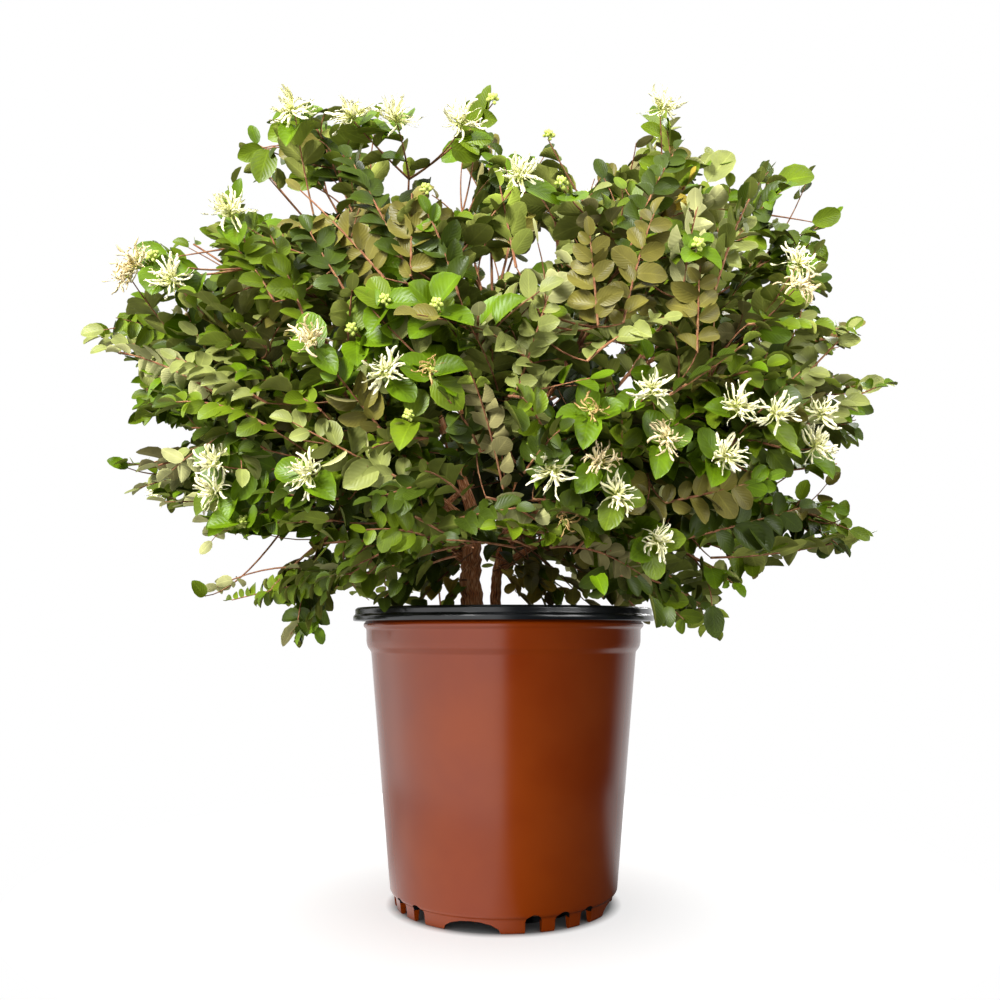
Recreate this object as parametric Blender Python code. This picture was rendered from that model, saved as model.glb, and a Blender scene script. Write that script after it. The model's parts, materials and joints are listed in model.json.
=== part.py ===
"""A Chinese fringe flower, a low evergreen shrub in white blossom, standing in its moulded nursery pot.

The origin is the middle of the pot's flat underside and +Z is up. The side that faces -Y is the front.
Lengths are in metres and angles in degrees. Azimuth 0 points along +X, 90 to the back and 270 to the front.
"""

import math
import random
from collections import namedtuple

import bmesh
import bpy
import numpy as np
from mathutils import Matrix, Vector
from mathutils.bvhtree import BVHTree

MM = 0.001
GAP = 0.3 * MM  # clearance between two solids that touch on the real plant
UP = Vector((0, 0, 1))

# Pot: one sheet of plastic, with a collar under its rolled lip and a slotted foot
POT_HEIGHT = 227.5 * MM
LIP_RADIUS = 121 * MM
LIP_DEPTH = 10.6 * MM
LIP_CAP = 3.5 * MM  # thickness of the lip over the pot's own edge
COLLAR_RADIUS = 110.3 * MM
COLLAR_DEPTH = 19.5 * MM
COLLAR_SLOPE = 5 * MM  # height over which the wall widens into the collar
WALL_TOP_RADIUS = 106 * MM
WALL_FOOT_RADIUS = 88.5 * MM
FOOT_RADIUS = 84.5 * MM
FOOT_HEIGHT = 12 * MM
FOOT_WIDTH = 3.5 * MM
PAD_RADIUS = 60 * MM  # the flat middle of the base, which the pot also stands on
CHANNEL_HEIGHT = 9 * MM  # underside of the base between the pad and the foot
WALL = 1.5 * MM
TURNS = 32  # flats round the pot
TURNED_EDGE = 35  # a crease sharper than this shows as an edge on the pot, its lip and the soil
SLOT_GROUPS = 4
SLOTS_IN_GROUP = 3
SLOT_PITCH = 15
SLOT_WIDTH = 12 * MM
SLOT_HEIGHT = 13.5 * MM
FIRST_GROUP_AZIMUTH = 299
ARCH_WIDTH = 42 * MM  # the wide gap in the foot between two groups of slots
ARCH_HEIGHT = 8.5 * MM
CUTTER_REACH = 6 * MM  # how far the cutters of the foot pass it on each side

# Root ball
SOIL_LEVEL = 203 * MM
SOIL_FALL = 3 * MM  # how much lower its edge lies than its middle
SOIL_FLAT_RADIUS = 55 * MM

# Trunk and second stem: foot, bend and tip of each, with the radii at its ends
TRUNK_FOOT = Vector((-0.022, 0.002, SOIL_LEVEL + GAP))
TRUNK_BEND = Vector((-0.031, -0.001, 0.258))
TRUNK_TIP = Vector((-0.023, 0.000, 0.298))
TRUNK_RADII = (8.2 * MM, 6.2 * MM)
TRUNK_FLARE = 1.55  # radius at the cut over the radius above the flare
STEM_FOOT = Vector((-0.003, 0.008, SOIL_LEVEL + GAP))
STEM_BEND = Vector((-0.012, 0.008, 0.250))
STEM_TIP = Vector((0.004, 0.008, 0.290))
STEM_RADII = (4.6 * MM, 3.9 * MM)
STEM_FLARE = 1.4
FLARE_HEIGHT = 0.4  # where most of the flare has gone, as a share of a stem's first step
FLARE_LEFT = 0.35  # the share of it that is left there
TRUNK_SIDES = 8
STEM_SIDES = 6
BOUGH_SIDES = 5
BOUGH_POINTS = 5
LIMB_EDGE = 80

# Crown: each mass of foliage keeps to its own wedge, seen from the hub
HUB = Vector((-0.015, 0.0, 0.322))
FOOT_SHARE = 0.42  # how far out, as a share of the reach, a bough hands over to its foliage
MASS_STEM = 26 * MM
WEDGE_MARGIN = 0.6 * MM
BOUGH_ARCH = 0.13  # rise at a bough's middle over its length
BOUGH_TAPER = 0.58
LEADER_ARCH = 0.12
LEADER_RADII = (1.5 * MM, 0.8 * MM)
LEADERS = 5
LEADER_STARTS = (0.45, 0.95)  # the stretch of a mass's stem that its side leaders leave
LEADER_SPREAD = 0.6  # angle off the mass's axis, as a share of the angle to the edge of its wedge
WIDEST_SPREAD = 26
SHORTEST_REACH = 0.86
KEPT_SHARES = (1, 0.85, 0.7, 0.55)  # lengths of a leader that are tried in turn

# Leaves, larger than life because each stands for several
LEAF_LENGTH = 58 * MM
LEAF_WIDTH = 36 * MM
LEAF_THICK = 1.4 * MM
LEAF_WIDEST = 0.42  # where a leaf is widest, as a share of its length
LEAF_LEAN = 54  # angle between a leaf and its twig
LEAN_VARIES = 8
LEAF_ROLL = 14
RANK_TURN = 65  # how far a twig's two ranks of leaves may be turned from level
LEAF_SIZES = (1.0, 0.86, 0.72)  # tried in turn, until one keeps to its space
LEAVES_ON_LEADER = 4
FIRST_LEAF_SHARE = 0.24
LAST_LEAF_SHARE = 0.93

# Blossom: a tuft of strap petals round a small heart
PETALS = 6
PETAL_LENGTH = 19 * MM
PETAL_RISE = (-2 * MM, 9 * MM)
PETAL_SHIFT = 0.2  # how unevenly the petals stand round the heart, as a share of half their pitch
HEART_RADIUS = 4.5 * MM
HEART_HEIGHT = 4 * MM

# Where no leaf may be: over the rim, and round and in line with the bare foot of the stems
RIM_CLEARANCE = 5 * MM
BARE_RADIUS = 60 * MM
BARE_HALF_WIDTH = 46 * MM
BARE_TOP = 0.262

Limb = namedtuple("Limb", "name points radii sides")
Mass = namedtuple("Mass", "name azimuth rise reach carrier share root_radius blossoms")

# One row for each bough and the mass of foliage at its end: direction and reach from the hub, the limb that
# carries the bough, how far along that limb, the bough's radius there, and how many leaders end in blossom.
MASSES = (
    Mass("top_left", 176, 62, 0.338, "trunk", 1.00, 4.3 * MM, 3),
    Mass("left_mid", 181, 21, 0.330, "trunk", 0.90, 4.4 * MM, 0),
    Mass("front_left", 222, 8, 0.272, "trunk", 0.78, 3.6 * MM, 2),
    Mass("back_left", 136, 12, 0.290, "trunk", 0.80, 3.6 * MM, 1),
    Mass("low_left", 188, -15, 0.215, "trunk", 0.60, 3.6 * MM, 0),
    Mass("top_right", 5, 65, 0.340, "second_stem", 1.00, 3.6 * MM, 1),
    Mass("right_mid", 358, 16, 0.318, "second_stem", 0.88, 3.5 * MM, 2),
    Mass("front_right", 316, 9, 0.275, "second_stem", 0.76, 3.3 * MM, 3),
    Mass("back_right", 44, 12, 0.285, "second_stem", 0.80, 3.3 * MM, 1),
    Mass("low_right", 2, -6, 0.285, "second_stem", 0.62, 3.0 * MM, 0),
    Mass("left_lower", 172, 2, 0.280, "left_mid", 0.34, 2.9 * MM, 1),
    Mass("left_upper", 184, 40, 0.335, "left_mid", 0.52, 2.9 * MM, 2),
    Mass("top_centre", 84, 86, 0.318, "top_left", 0.34, 2.9 * MM, 2),
    Mass("front_low_left", 244, 0, 0.222, "front_left", 0.30, 2.6 * MM, 0),
    Mass("front_upper_left", 234, 38, 0.290, "front_left", 0.52, 2.7 * MM, 2),
    Mass("front_centre", 270, 14, 0.268, "front_right", 0.36, 2.5 * MM, 1),
    Mass("front_low_right", 300, 0, 0.230, "front_right", 0.24, 2.4 * MM, 1),
    Mass("droop_right", 336, -20, 0.205, "low_right", 0.40, 2.3 * MM, 0),
    Mass("front_upper_right", 306, 38, 0.290, "top_right", 0.34, 2.6 * MM, 2),
    Mass("right_upper", 0, 39, 0.335, "right_mid", 0.50, 2.7 * MM, 1),
    Mass("back_centre", 90, 12, 0.275, "back_left", 0.36, 2.6 * MM, 1),
    Mass("back_upper_left", 126, 42, 0.295, "back_left", 0.54, 2.7 * MM, 1),
    Mass("back_upper_right", 56, 42, 0.298, "back_right", 0.52, 2.6 * MM, 1),
    Mass("back_low_left", 118, -10, 0.235, "back_left", 0.24, 2.5 * MM, 0),
    Mass("back_low_right", 62, -10, 0.235, "back_right", 0.24, 2.4 * MM, 0),
)

# Colour, roughness and metallic value of each material
FINISHES = {
    "pot_plastic": ((0.30, 0.085, 0.032), 0.38, 0.0),
    "lip_plastic": ((0.018, 0.020, 0.024), 0.30, 0.0),
    "potting_mix": ((0.040, 0.024, 0.015), 0.95, 0.0),
    "bark": ((0.20, 0.085, 0.048), 0.85, 0.0),
    "foliage": ((0.115, 0.165, 0.045), 0.55, 0.0),
}


def clear_scene():
    for obj in list(bpy.data.objects):
        bpy.data.objects.remove(obj)


def material(name):
    """The named finish as a Principled material, made once."""
    found = bpy.data.materials.get(name)
    if found:
        return found
    colour, roughness, metallic = FINISHES[name]
    made = bpy.data.materials.new(name)
    made.use_nodes = True
    shader = made.node_tree.nodes["Principled BSDF"]
    shader.inputs["Base Color"].default_value = (*colour, 1)
    shader.inputs["Roughness"].default_value = roughness
    shader.inputs["Metallic"].default_value = metallic
    made.diffuse_color = (*colour, 1)
    return made


def object_from(name, mesh_maker, finish, collection=None):
    """A new object whose mesh is built by mesh_maker, a function that fills a bmesh."""
    bm = bmesh.new()
    mesh_maker(bm)
    bmesh.ops.recalc_face_normals(bm, faces=bm.faces)
    mesh = bpy.data.meshes.new(name)
    bm.to_mesh(mesh)
    bm.free()
    mesh.materials.append(material(finish))
    obj = bpy.data.objects.new(name, mesh)
    (collection or bpy.context.scene.collection).objects.link(obj)
    return obj


def settle(obj):
    """Makes the object's evaluated shape its own mesh and drops the modifiers."""
    graph = bpy.context.evaluated_depsgraph_get()
    mesh = bpy.data.meshes.new_from_object(obj.evaluated_get(graph))
    mesh.name = obj.name
    obj.modifiers.clear()
    obj.data = mesh


def combine(obj, collection, operation):
    """One Boolean of the object with every object of the collection, which is then emptied."""
    boolean = obj.modifiers.new("combine", "BOOLEAN")
    boolean.operation = operation
    boolean.operand_type = "COLLECTION"
    boolean.collection = collection
    settle(obj)
    for other in list(collection.objects):
        bpy.data.objects.remove(other)
    bpy.data.collections.remove(collection)


def smooth(obj, edge):
    """Shades the object smooth, with an edge wherever two faces turn by more than this angle."""
    obj.data.shade_smooth()
    obj.data.set_sharp_from_angle(angle=math.radians(edge))
    return obj


def new_collection(name):
    made = bpy.data.collections.new(name)
    bpy.context.scene.collection.children.link(made)
    return made


def turned(name, profile, finish):
    """A profile of (radius, height) points turned round Z, closed on the axis where it begins and ends there."""

    def fill(bm):
        points = [bm.verts.new((radius, 0, height)) for radius, height in profile]
        edges = [bm.edges.new(pair) for pair in zip(points, points[1:])]
        if profile[0][0] > 0:
            edges.append(bm.edges.new((points[-1], points[0])))
        bmesh.ops.spin(bm, geom=points + edges, axis=UP, cent=(0, 0, 0), angle=math.tau, steps=TURNS)
        bmesh.ops.remove_doubles(bm, verts=bm.verts, dist=0.01 * MM)

    return smooth(object_from(name, fill, finish), TURNED_EDGE)


def pot():
    """The pot: wall, collar, base and slotted foot, without the lip."""
    collar_foot = POT_HEIGHT - LIP_DEPTH - COLLAR_DEPTH
    wall_top = collar_foot - COLLAR_SLOPE
    rim = POT_HEIGHT - LIP_CAP
    floor = CHANNEL_HEIGHT + WALL
    outside = [
        (0, 0),
        (PAD_RADIUS, 0),
        (PAD_RADIUS + 2 * MM, CHANNEL_HEIGHT),
        (FOOT_RADIUS - FOOT_WIDTH - MM, CHANNEL_HEIGHT),
        (FOOT_RADIUS - FOOT_WIDTH, 0),
        (FOOT_RADIUS - MM, 0),
        (FOOT_RADIUS, MM),
        (FOOT_RADIUS + MM, FOOT_HEIGHT - 2 * MM),
        (WALL_FOOT_RADIUS, FOOT_HEIGHT),
        (WALL_TOP_RADIUS, wall_top),
        (COLLAR_RADIUS - MM, collar_foot),
        (COLLAR_RADIUS, collar_foot + 3 * MM),
        (COLLAR_RADIUS, rim),
    ]
    inside = [
        (COLLAR_RADIUS - WALL, rim),
        (COLLAR_RADIUS - WALL, collar_foot + 3 * MM),
        (WALL_TOP_RADIUS - WALL, wall_top),
        (WALL_FOOT_RADIUS - WALL, FOOT_HEIGHT + WALL),
        (FOOT_RADIUS - WALL, floor),
        (PAD_RADIUS, floor),
        (PAD_RADIUS - 2 * MM, WALL),
        (0, WALL),
    ]
    body = turned("pot", outside + inside, "pot_plastic")
    combine(body, foot_cutters(), "DIFFERENCE")
    return smooth(body, TURNED_EDGE)


def foot_cutters():
    """The slots in the foot and the wide arches between their groups, as one collection of cutters."""
    cutters = new_collection("foot_cutters")
    for group in range(SLOT_GROUPS):
        azimuth = FIRST_GROUP_AZIMUTH + group * 360 / SLOT_GROUPS
        for slot in range(SLOTS_IN_GROUP):
            turn = azimuth + (slot - (SLOTS_IN_GROUP - 1) / 2) * SLOT_PITCH
            foot_cutter("slot", turn, SLOT_WIDTH, SLOT_HEIGHT, SLOT_WIDTH / 3, cutters)
        foot_cutter("arch", azimuth + 180 / SLOT_GROUPS, ARCH_WIDTH, ARCH_HEIGHT, ARCH_HEIGHT / 2, cutters)
    return cutters


def foot_cutter(name, azimuth, width, height, corner, collection):
    """A bar with its two upper corners cut off, lying across the foot at one azimuth."""
    half, low = width / 2, -CUTTER_REACH
    outline = [(-half, low), (half, low), (half, height - corner), (half - corner, height)]
    outline += [(corner - half, height), (-half, height - corner)]
    turn = Matrix.Rotation(math.radians(azimuth), 4, "Z")
    inner, outer = PAD_RADIUS + CUTTER_REACH, WALL_FOOT_RADIUS + CUTTER_REACH

    def fill(bm):
        ends = [[bm.verts.new(turn @ Vector((r, y, z))) for y, z in outline] for r in (inner, outer)]
        bm.faces.new(ends[0])
        bm.faces.new(ends[1])
        for i in range(len(outline)):
            j = (i + 1) % len(outline)
            bm.faces.new((ends[0][i], ends[0][j], ends[1][j], ends[1][i]))

    return object_from(f"{name}_cutter", fill, "pot_plastic", collection)


def pot_lip():
    """The black rolled lip, which sits over the pot's upper edge in two small tiers."""
    top, low = POT_HEIGHT, POT_HEIGHT - LIP_DEPTH
    seat = POT_HEIGHT - LIP_CAP + GAP
    inner, outer = COLLAR_RADIUS - WALL, LIP_RADIUS
    profile = [
        (inner, seat),
        (inner, top - 0.8 * MM),
        (inner + 0.8 * MM, top),
        (outer - 2.8 * MM, top),
        (outer - 1.4 * MM, top - 1.4 * MM),
        (outer - 1.4 * MM, top - 5.6 * MM),
        (outer, top - 6.6 * MM),
        (outer, low + 0.8 * MM),
        (outer - 0.8 * MM, low),
        (COLLAR_RADIUS + GAP, low + 1.2 * MM),
        (COLLAR_RADIUS + GAP, seat),
    ]
    return turned("pot_lip", profile, "lip_plastic")


def soil():
    """The root ball, which fills the pot to just under the collar."""
    wall_top = POT_HEIGHT - LIP_DEPTH - COLLAR_DEPTH - COLLAR_SLOPE
    floor = CHANNEL_HEIGHT + WALL + GAP
    profile = [
        (0, WALL + GAP),
        (PAD_RADIUS - 2 * MM - GAP, WALL + GAP),
        (PAD_RADIUS - GAP, floor),
        (FOOT_RADIUS - WALL - GAP, floor),
        (WALL_FOOT_RADIUS - WALL - GAP, FOOT_HEIGHT + WALL + GAP),
        (WALL_TOP_RADIUS - WALL - GAP, wall_top),
        (COLLAR_RADIUS - 3 * WALL, SOIL_LEVEL - SOIL_FALL),
        (SOIL_FLAT_RADIUS, SOIL_LEVEL),
        (0, SOIL_LEVEL),
    ]
    return turned("soil", profile, "potting_mix")


def bezier(start, bend, end, count):
    """Count points along the curve that leaves start towards bend and arrives at end."""
    shares = [i / (count - 1) for i in range(count)]
    return [start * (1 - s) ** 2 + bend * 2 * s * (1 - s) + end * s**2 for s in shares]


def tapered(first, last, count):
    return [first + (last - first) * i / (count - 1) for i in range(count)]


def tangents(points):
    """The direction of the path at each of its points."""
    last = len(points) - 1
    return [(points[min(i + 1, last)] - points[max(i - 1, 0)]).normalized() for i in range(last + 1)]


def add_tube(bm, points, radii, sides, level_foot=False):
    """Adds a closed tapering tube along the points, with flat ends. A level foot is cut horizontal."""
    ways = tangents(points)
    if level_foot:
        ways[0] = UP.copy()
    across = ways[0].orthogonal().normalized()
    turns = [math.tau * k / sides for k in range(sides)]
    rings = []
    for point, way, radius in zip(points, ways, radii):
        across = (across - way * across.dot(way)).normalized()
        other = way.cross(across)
        spokes = [across * math.cos(turn) + other * math.sin(turn) for turn in turns]
        rings.append([bm.verts.new(point + spoke * radius) for spoke in spokes])
    bm.faces.new(rings[0])
    bm.faces.new(rings[-1])
    for low, high in zip(rings, rings[1:]):
        for k in range(sides):
            j = (k + 1) % sides
            bm.faces.new((low[k], low[j], high[j], high[k]))


def tube_object(name, limb, swell=0.0, collection=None):
    """The limb as a solid, or its clearance when it is swollen."""

    def fill(bm):
        radii = [radius + swell / math.cos(math.pi / limb.sides) for radius in limb.radii]
        add_tube(bm, limb.points, radii, limb.sides, level_foot=limb.name in ("trunk", "second_stem"))

    return object_from(name, fill, "bark", collection)


def flared(name, foot, bend, tip, radii, flare, sides):
    """A stem that swells into its root flare just above the flat cut at the soil."""
    points = bezier(foot, bend, tip, 6)
    points.insert(1, foot.lerp(points[1], FLARE_HEIGHT))
    sizes = tapered(*radii, len(points))
    sizes[0] *= flare
    sizes[1] *= 1 + (flare - 1) * FLARE_LEFT
    return Limb(name, points, sizes, sides)


def mass_axis(mass):
    azimuth, rise = math.radians(mass.azimuth), math.radians(mass.rise)
    return Vector((math.cos(azimuth) * math.cos(rise), math.sin(azimuth) * math.cos(rise), math.sin(rise)))


def mass_foot(mass):
    return HUB + mass_axis(mass) * mass.reach * FOOT_SHARE


def along(points, share):
    """The point at a share of the way along a path, by point count."""
    place = share * (len(points) - 1)
    index = min(int(place), len(points) - 2)
    return points[index].lerp(points[index + 1], place - index)


def bough_limb(mass, carrier):
    """The bough that leaves its carrier and rises in an arch to where its foliage begins."""
    start, foot = along(carrier.points, mass.share), mass_foot(mass)
    length = (foot - start).length
    bend = start.lerp(foot, 0.5) + UP * length * BOUGH_ARCH
    if mass.share == 1.0:
        start = start + (bend - start).normalized() * GAP * 2
    radii = tapered(mass.root_radius, mass.root_radius * BOUGH_TAPER, BOUGH_POINTS)
    return Limb(mass.name, bezier(start, bend, foot, BOUGH_POINTS), radii, BOUGH_SIDES)


def limbs():
    """Trunk, second stem and every bough, by name, each after the limb that carries it."""
    trunk = flared("trunk", TRUNK_FOOT, TRUNK_BEND, TRUNK_TIP, TRUNK_RADII, TRUNK_FLARE, TRUNK_SIDES)
    stem = flared("second_stem", STEM_FOOT, STEM_BEND, STEM_TIP, STEM_RADII, STEM_FLARE, STEM_SIDES)
    found = {"trunk": trunk, "second_stem": stem}
    for mass in MASSES:
        found[mass.name] = bough_limb(mass, found[mass.carrier])
    return found


def build_limbs(found):
    """One solid for each limb, each cut clear of the limbs before it."""
    before = []
    for limb in found.values():
        name = limb.name if limb.name in ("trunk", "second_stem") else f"bough_{limb.name}"
        solid = tube_object(name, limb)
        near = [other for other in before if limbs_meet(limb, other)]
        if near:
            cutters = new_collection("limb_cutters")
            for other in near:
                tube_object(f"clear_of_{other.name}", other, GAP, cutters)
            combine(solid, cutters, "DIFFERENCE")
        smooth(solid, LIMB_EDGE)
        before.append(limb)


def limbs_meet(a, b):
    """Whether two limbs come within a few millimetres of each other."""
    one, two = sampled(a), sampled(b)
    apart = np.linalg.norm(one[:, None, :3] - two[None, :, :3], axis=2)
    return bool((apart - one[:, None, 3] - two[None, :, 3]).min() < 2 * MM)


def sampled(limb, step=3 * MM):
    """Rows of x, y, z and radius along a limb, close together."""
    rows = []
    for p, q, r, s in zip(limb.points, limb.points[1:], limb.radii, limb.radii[1:]):
        count = max(2, math.ceil((q - p).length / step))
        rows += [(*p.lerp(q, i / count), r + (s - r) * i / count) for i in range(count + 1)]
    return np.array(rows)


class Space:
    """Where one mass may grow: its own wedge of the crown, clear of every limb, the pot and the bare foot."""

    def __init__(self, mass, limb_rows):
        own = mass_axis(mass)
        ways = [own - mass_axis(other) for other in MASSES if other.name != mass.name]
        self.planes = np.array([way.normalized() for way in ways])
        self.limb_rows = limb_rows

    def edge_angle(self, axis, spin):
        """Angle from the mass's axis to the edge of its wedge, turning towards spin."""
        facing, turning = self.planes @ np.array(axis), self.planes @ np.array(spin)
        edges = [math.atan2(a, -b) for a, b in zip(facing, turning) if b < 0]
        return min([*edges, math.radians(WIDEST_SPREAD) / LEADER_SPREAD])

    def holds(self, points, thick, slack=MM):
        """Whether points on a twig or leaf, with this half thickness, all lie in the space."""
        rows = np.array([tuple(point) for point in points])
        if ((rows - np.array(HUB)) @ self.planes.T).min() < WEDGE_MARGIN + thick:
            return False
        round_pot = np.hypot(rows[:, 0], rows[:, 1])
        over_rim = (round_pot < LIP_RADIUS + RIM_CLEARANCE) & (rows[:, 2] < POT_HEIGHT + RIM_CLEARANCE)
        in_line = (round_pot < BARE_RADIUS) | (abs(rows[:, 0]) < BARE_HALF_WIDTH)
        bare = in_line & (rows[:, 2] < BARE_TOP)
        if (over_rim | bare).any():
            return False
        apart = np.linalg.norm(rows[:, None] - self.limb_rows[None, :, :3], axis=2)
        return bool((apart - self.limb_rows[None, :, 3]).min() > thick + slack)


def leader_paths(mass, limb, space, rng):
    """The mass's short stem and the leading shoots that fan out of it, each a list of points."""
    axis, foot = mass_axis(mass), limb.points[-1]
    onward = (limb.points[-1] - limb.points[-2]).normalized()
    root = foot + onward * GAP
    fork = root + (onward + axis).normalized() * MASS_STEM
    phase = rng.uniform(0, math.tau)
    leaders = []
    for k in range(LEADERS):
        way, reach, start = axis, mass.reach, fork
        if k:
            turn = phase + math.tau * (k - 1) / (LEADERS - 1)
            spin = Matrix.Rotation(turn, 3, axis) @ axis.orthogonal().normalized()
            spread = LEADER_SPREAD * space.edge_angle(axis, spin)
            way = axis * math.cos(spread) + spin * math.sin(spread)
            reach = mass.reach * rng.uniform(SHORTEST_REACH, 1)
            first, last = LEADER_STARTS
            start = root.lerp(fork, first + (last - first) * k / LEADERS)
        tip = HUB + way * reach
        arch = (tip - start).length * LEADER_ARCH * math.cos(math.radians(mass.rise))
        bend = start.lerp(tip, 0.5) + UP * arch
        leaders.append(bezier(start, bend, tip, 4 if k == 0 else 3))
    return [root, fork], leaders


def rank_side(way, turn):
    """The direction of a twig's right-hand leaves: level, then turned about the twig."""
    level = way.cross(UP)
    if level.length < 0.2:
        level = Vector((1, 0, 0))
    return Matrix.Rotation(turn, 3, way) @ level.normalized()


def leaf_frame(way, outward, rng):
    """Length, width and normal of a leaf that leaves a twig outward, which is square to the twig."""
    lean = math.radians(LEAF_LEAN + rng.uniform(-LEAN_VARIES, LEAN_VARIES))
    length = (way * math.cos(lean) + outward * math.sin(lean)).normalized()
    roll = Matrix.Rotation(math.radians(rng.uniform(-LEAF_ROLL, LEAF_ROLL)), 3, length)
    normal = roll @ outward.cross(way).normalized()
    return length, normal.cross(length).normalized(), normal


def leaf_points(root, frame, size):
    """Corners of a leaf as a thin faceted lens: root, left, tip and right, then one above and one below."""
    length, width, normal = frame
    along_leaf, across = length * LEAF_LENGTH * size, width * LEAF_WIDTH * size / 2
    middle = root + along_leaf * LEAF_WIDEST
    outline = [root, middle + across, root + along_leaf, middle - across]
    return outline + [middle + normal * LEAF_THICK / 2, middle - normal * LEAF_THICK / 2]


def lens_faces(count):
    """The faces of a lens: an outline of count corners, joined to one point above it and one below."""
    rim = [(i, (i + 1) % count) for i in range(count)]
    return [(i, j, count) for i, j in rim] + [(j, i, count + 1) for i, j in rim]


def lens_object(name, points, collection):
    """A lens as a solid. Its last two points are the ones above and below its outline."""

    def fill(bm):
        verts = [bm.verts.new(point) for point in points]
        for face in lens_faces(len(points) - 2):
            bm.faces.new([verts[i] for i in face])

    return object_from(name, fill, "foliage", collection)


def leaf_samples(points, rows=5, columns=4):
    """Points spread over a leaf's blade, for the test of its space."""
    root, left, tip, right = points[:4]
    found = list(points)
    for start, end in ((root, tip), (tip, root)):
        for i in range(1, rows + 1):
            share = i / rows
            low, high = start.lerp(left, share), start.lerp(right, share)
            found += [low.lerp(high, j / columns) for j in range(columns + 1)]
    return found


def blossom_points(centre, way, rng):
    """Corners of a blossom: a star of uneven petals, then the points above and below its heart."""
    across = way.orthogonal().normalized()
    outline = []
    for k in range(PETALS * 2):
        turn = math.pi * (k + rng.uniform(-PETAL_SHIFT, PETAL_SHIFT)) / PETALS
        out = Matrix.Rotation(turn, 3, way) @ across
        if k % 2:
            outline.append(centre + out * HEART_RADIUS)
        else:
            outline.append(centre + out * PETAL_LENGTH + way * rng.uniform(*PETAL_RISE))
    return outline + [centre + way * HEART_HEIGHT, centre - way * HEART_HEIGHT]


def path_samples(points, step=3 * MM):
    return [Vector(row[:3]) for row in sampled(Limb("", points, [0.0] * len(points), 3), step)]


def grow_mass(mass, limb, limb_rows):
    """One mass of foliage: its stem, its leaders, their leaves and blossom, fused into one solid."""
    rng = random.Random(f"fringe flower {mass.name}")
    space = Space(mass, limb_rows)
    pieces = new_collection("mass_pieces")
    stem, leaders = leader_paths(mass, limb, space, rng)
    radii = (limb.radii[-1], LEADER_RADII[0] * 1.2)
    base = object_from(f"foliage_{mass.name}", lambda bm: add_tube(bm, stem, radii, 3), "foliage")
    blades = []
    for index, points in enumerate(leaders):
        points = kept_length(points, space)
        if points:
            grow_leader(mass, index, points, space, blades, pieces, rng)
    combine(base, pieces, "UNION")
    keep_one_body(base)
    return base


def kept_length(points, space):
    """The leader, cut back to where it still keeps to its space, or None if little of it does."""
    for share in KEPT_SHARES:
        cut = [along(points, share * i / (len(points) - 1)) for i in range(len(points))]
        if space.holds(path_samples(cut)[4:], LEADER_RADII[0]):
            return cut
    return None


def grow_leader(mass, index, points, space, blades, pieces, rng):
    """A leading shoot with leaves on alternate sides and, on the first few, blossom at the tip."""
    ways = tangents(points)
    turn = math.radians(rng.uniform(-RANK_TURN, RANK_TURN))
    radii = tapered(*LEADER_RADII, len(points))
    object_from("twig", lambda bm: add_tube(bm, points, radii, 3), "foliage", pieces)
    if index < mass.blossoms:
        add_clear("blossom", blossom_points(points[-1], ways[-1], rng), space, blades, pieces)
    for i in range(LEAVES_ON_LEADER):
        share = FIRST_LEAF_SHARE + (LAST_LEAF_SHARE - FIRST_LEAF_SHARE) * i / (LEAVES_ON_LEADER - 1)
        root, way = along(points, share), along(ways, share).normalized()
        outward = rank_side(way, turn) * (1 if (i + index) % 2 else -1)
        for size in LEAF_SIZES:
            leaf = leaf_points(root, leaf_frame(way, outward, rng), size)
            if add_clear("leaf", leaf, space, blades, pieces):
                break


def add_clear(name, points, space, blades, pieces):
    """Adds a leaf or blossom if it keeps to its space, clear of those before it, and says whether it did."""
    if not space.holds(leaf_samples(points) if name == "leaf" else points, 0.0):
        return False
    blade = BVHTree.FromPolygons(points, lens_faces(len(points) - 2))
    if any(blade.overlap(other) for other in blades):
        return False
    blades.append(blade)
    lens_object(name, points, pieces)
    return True


def keep_one_body(obj):
    """Drops loose scraps and the walls of sealed hollows, so that the mass is one solid body."""
    bm = bmesh.new()
    bm.from_mesh(obj.data)
    groups = body_groups(bm)
    if len(groups) > 1:
        groups.sort(key=len)
        bmesh.ops.delete(bm, geom=[vert for group in groups[:-1] for vert in group], context="VERTS")
        bm.to_mesh(obj.data)
    bm.free()


def body_groups(bm):
    """The bmesh's vertices, in groups that are joined by edges."""
    left, groups = set(bm.verts), []
    while left:
        group, front = set(), [left.pop()]
        while front:
            vert = front.pop()
            group.add(vert)
            near = {edge.other_vert(vert) for edge in vert.link_edges} & left
            left -= near
            front += near
        groups.append(group)
    return groups


def main():
    clear_scene()
    pot()
    pot_lip()
    soil()
    found = limbs()
    build_limbs(found)
    limb_rows = np.concatenate([sampled(limb) for limb in found.values()])
    for mass in MASSES:
        grow_mass(mass, found[mass.name], limb_rows)


main()
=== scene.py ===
# %% [markdown]
# # A white fringe flower in its nursery pot
#
# This lesson dresses a plain solid model of a small shrub until it looks like the living plant. The solids
# give the sizes and stay hidden under the pieces that stand for them. Lengths are in metres and angles in
# degrees, the pot stands on z = 0 and its front faces -Y.

import json
import math
import random
from collections import namedtuple

import bmesh
import bpy
import numpy as np
from mathutils import Euler, Matrix, Vector
from mathutils.kdtree import KDTree

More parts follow.
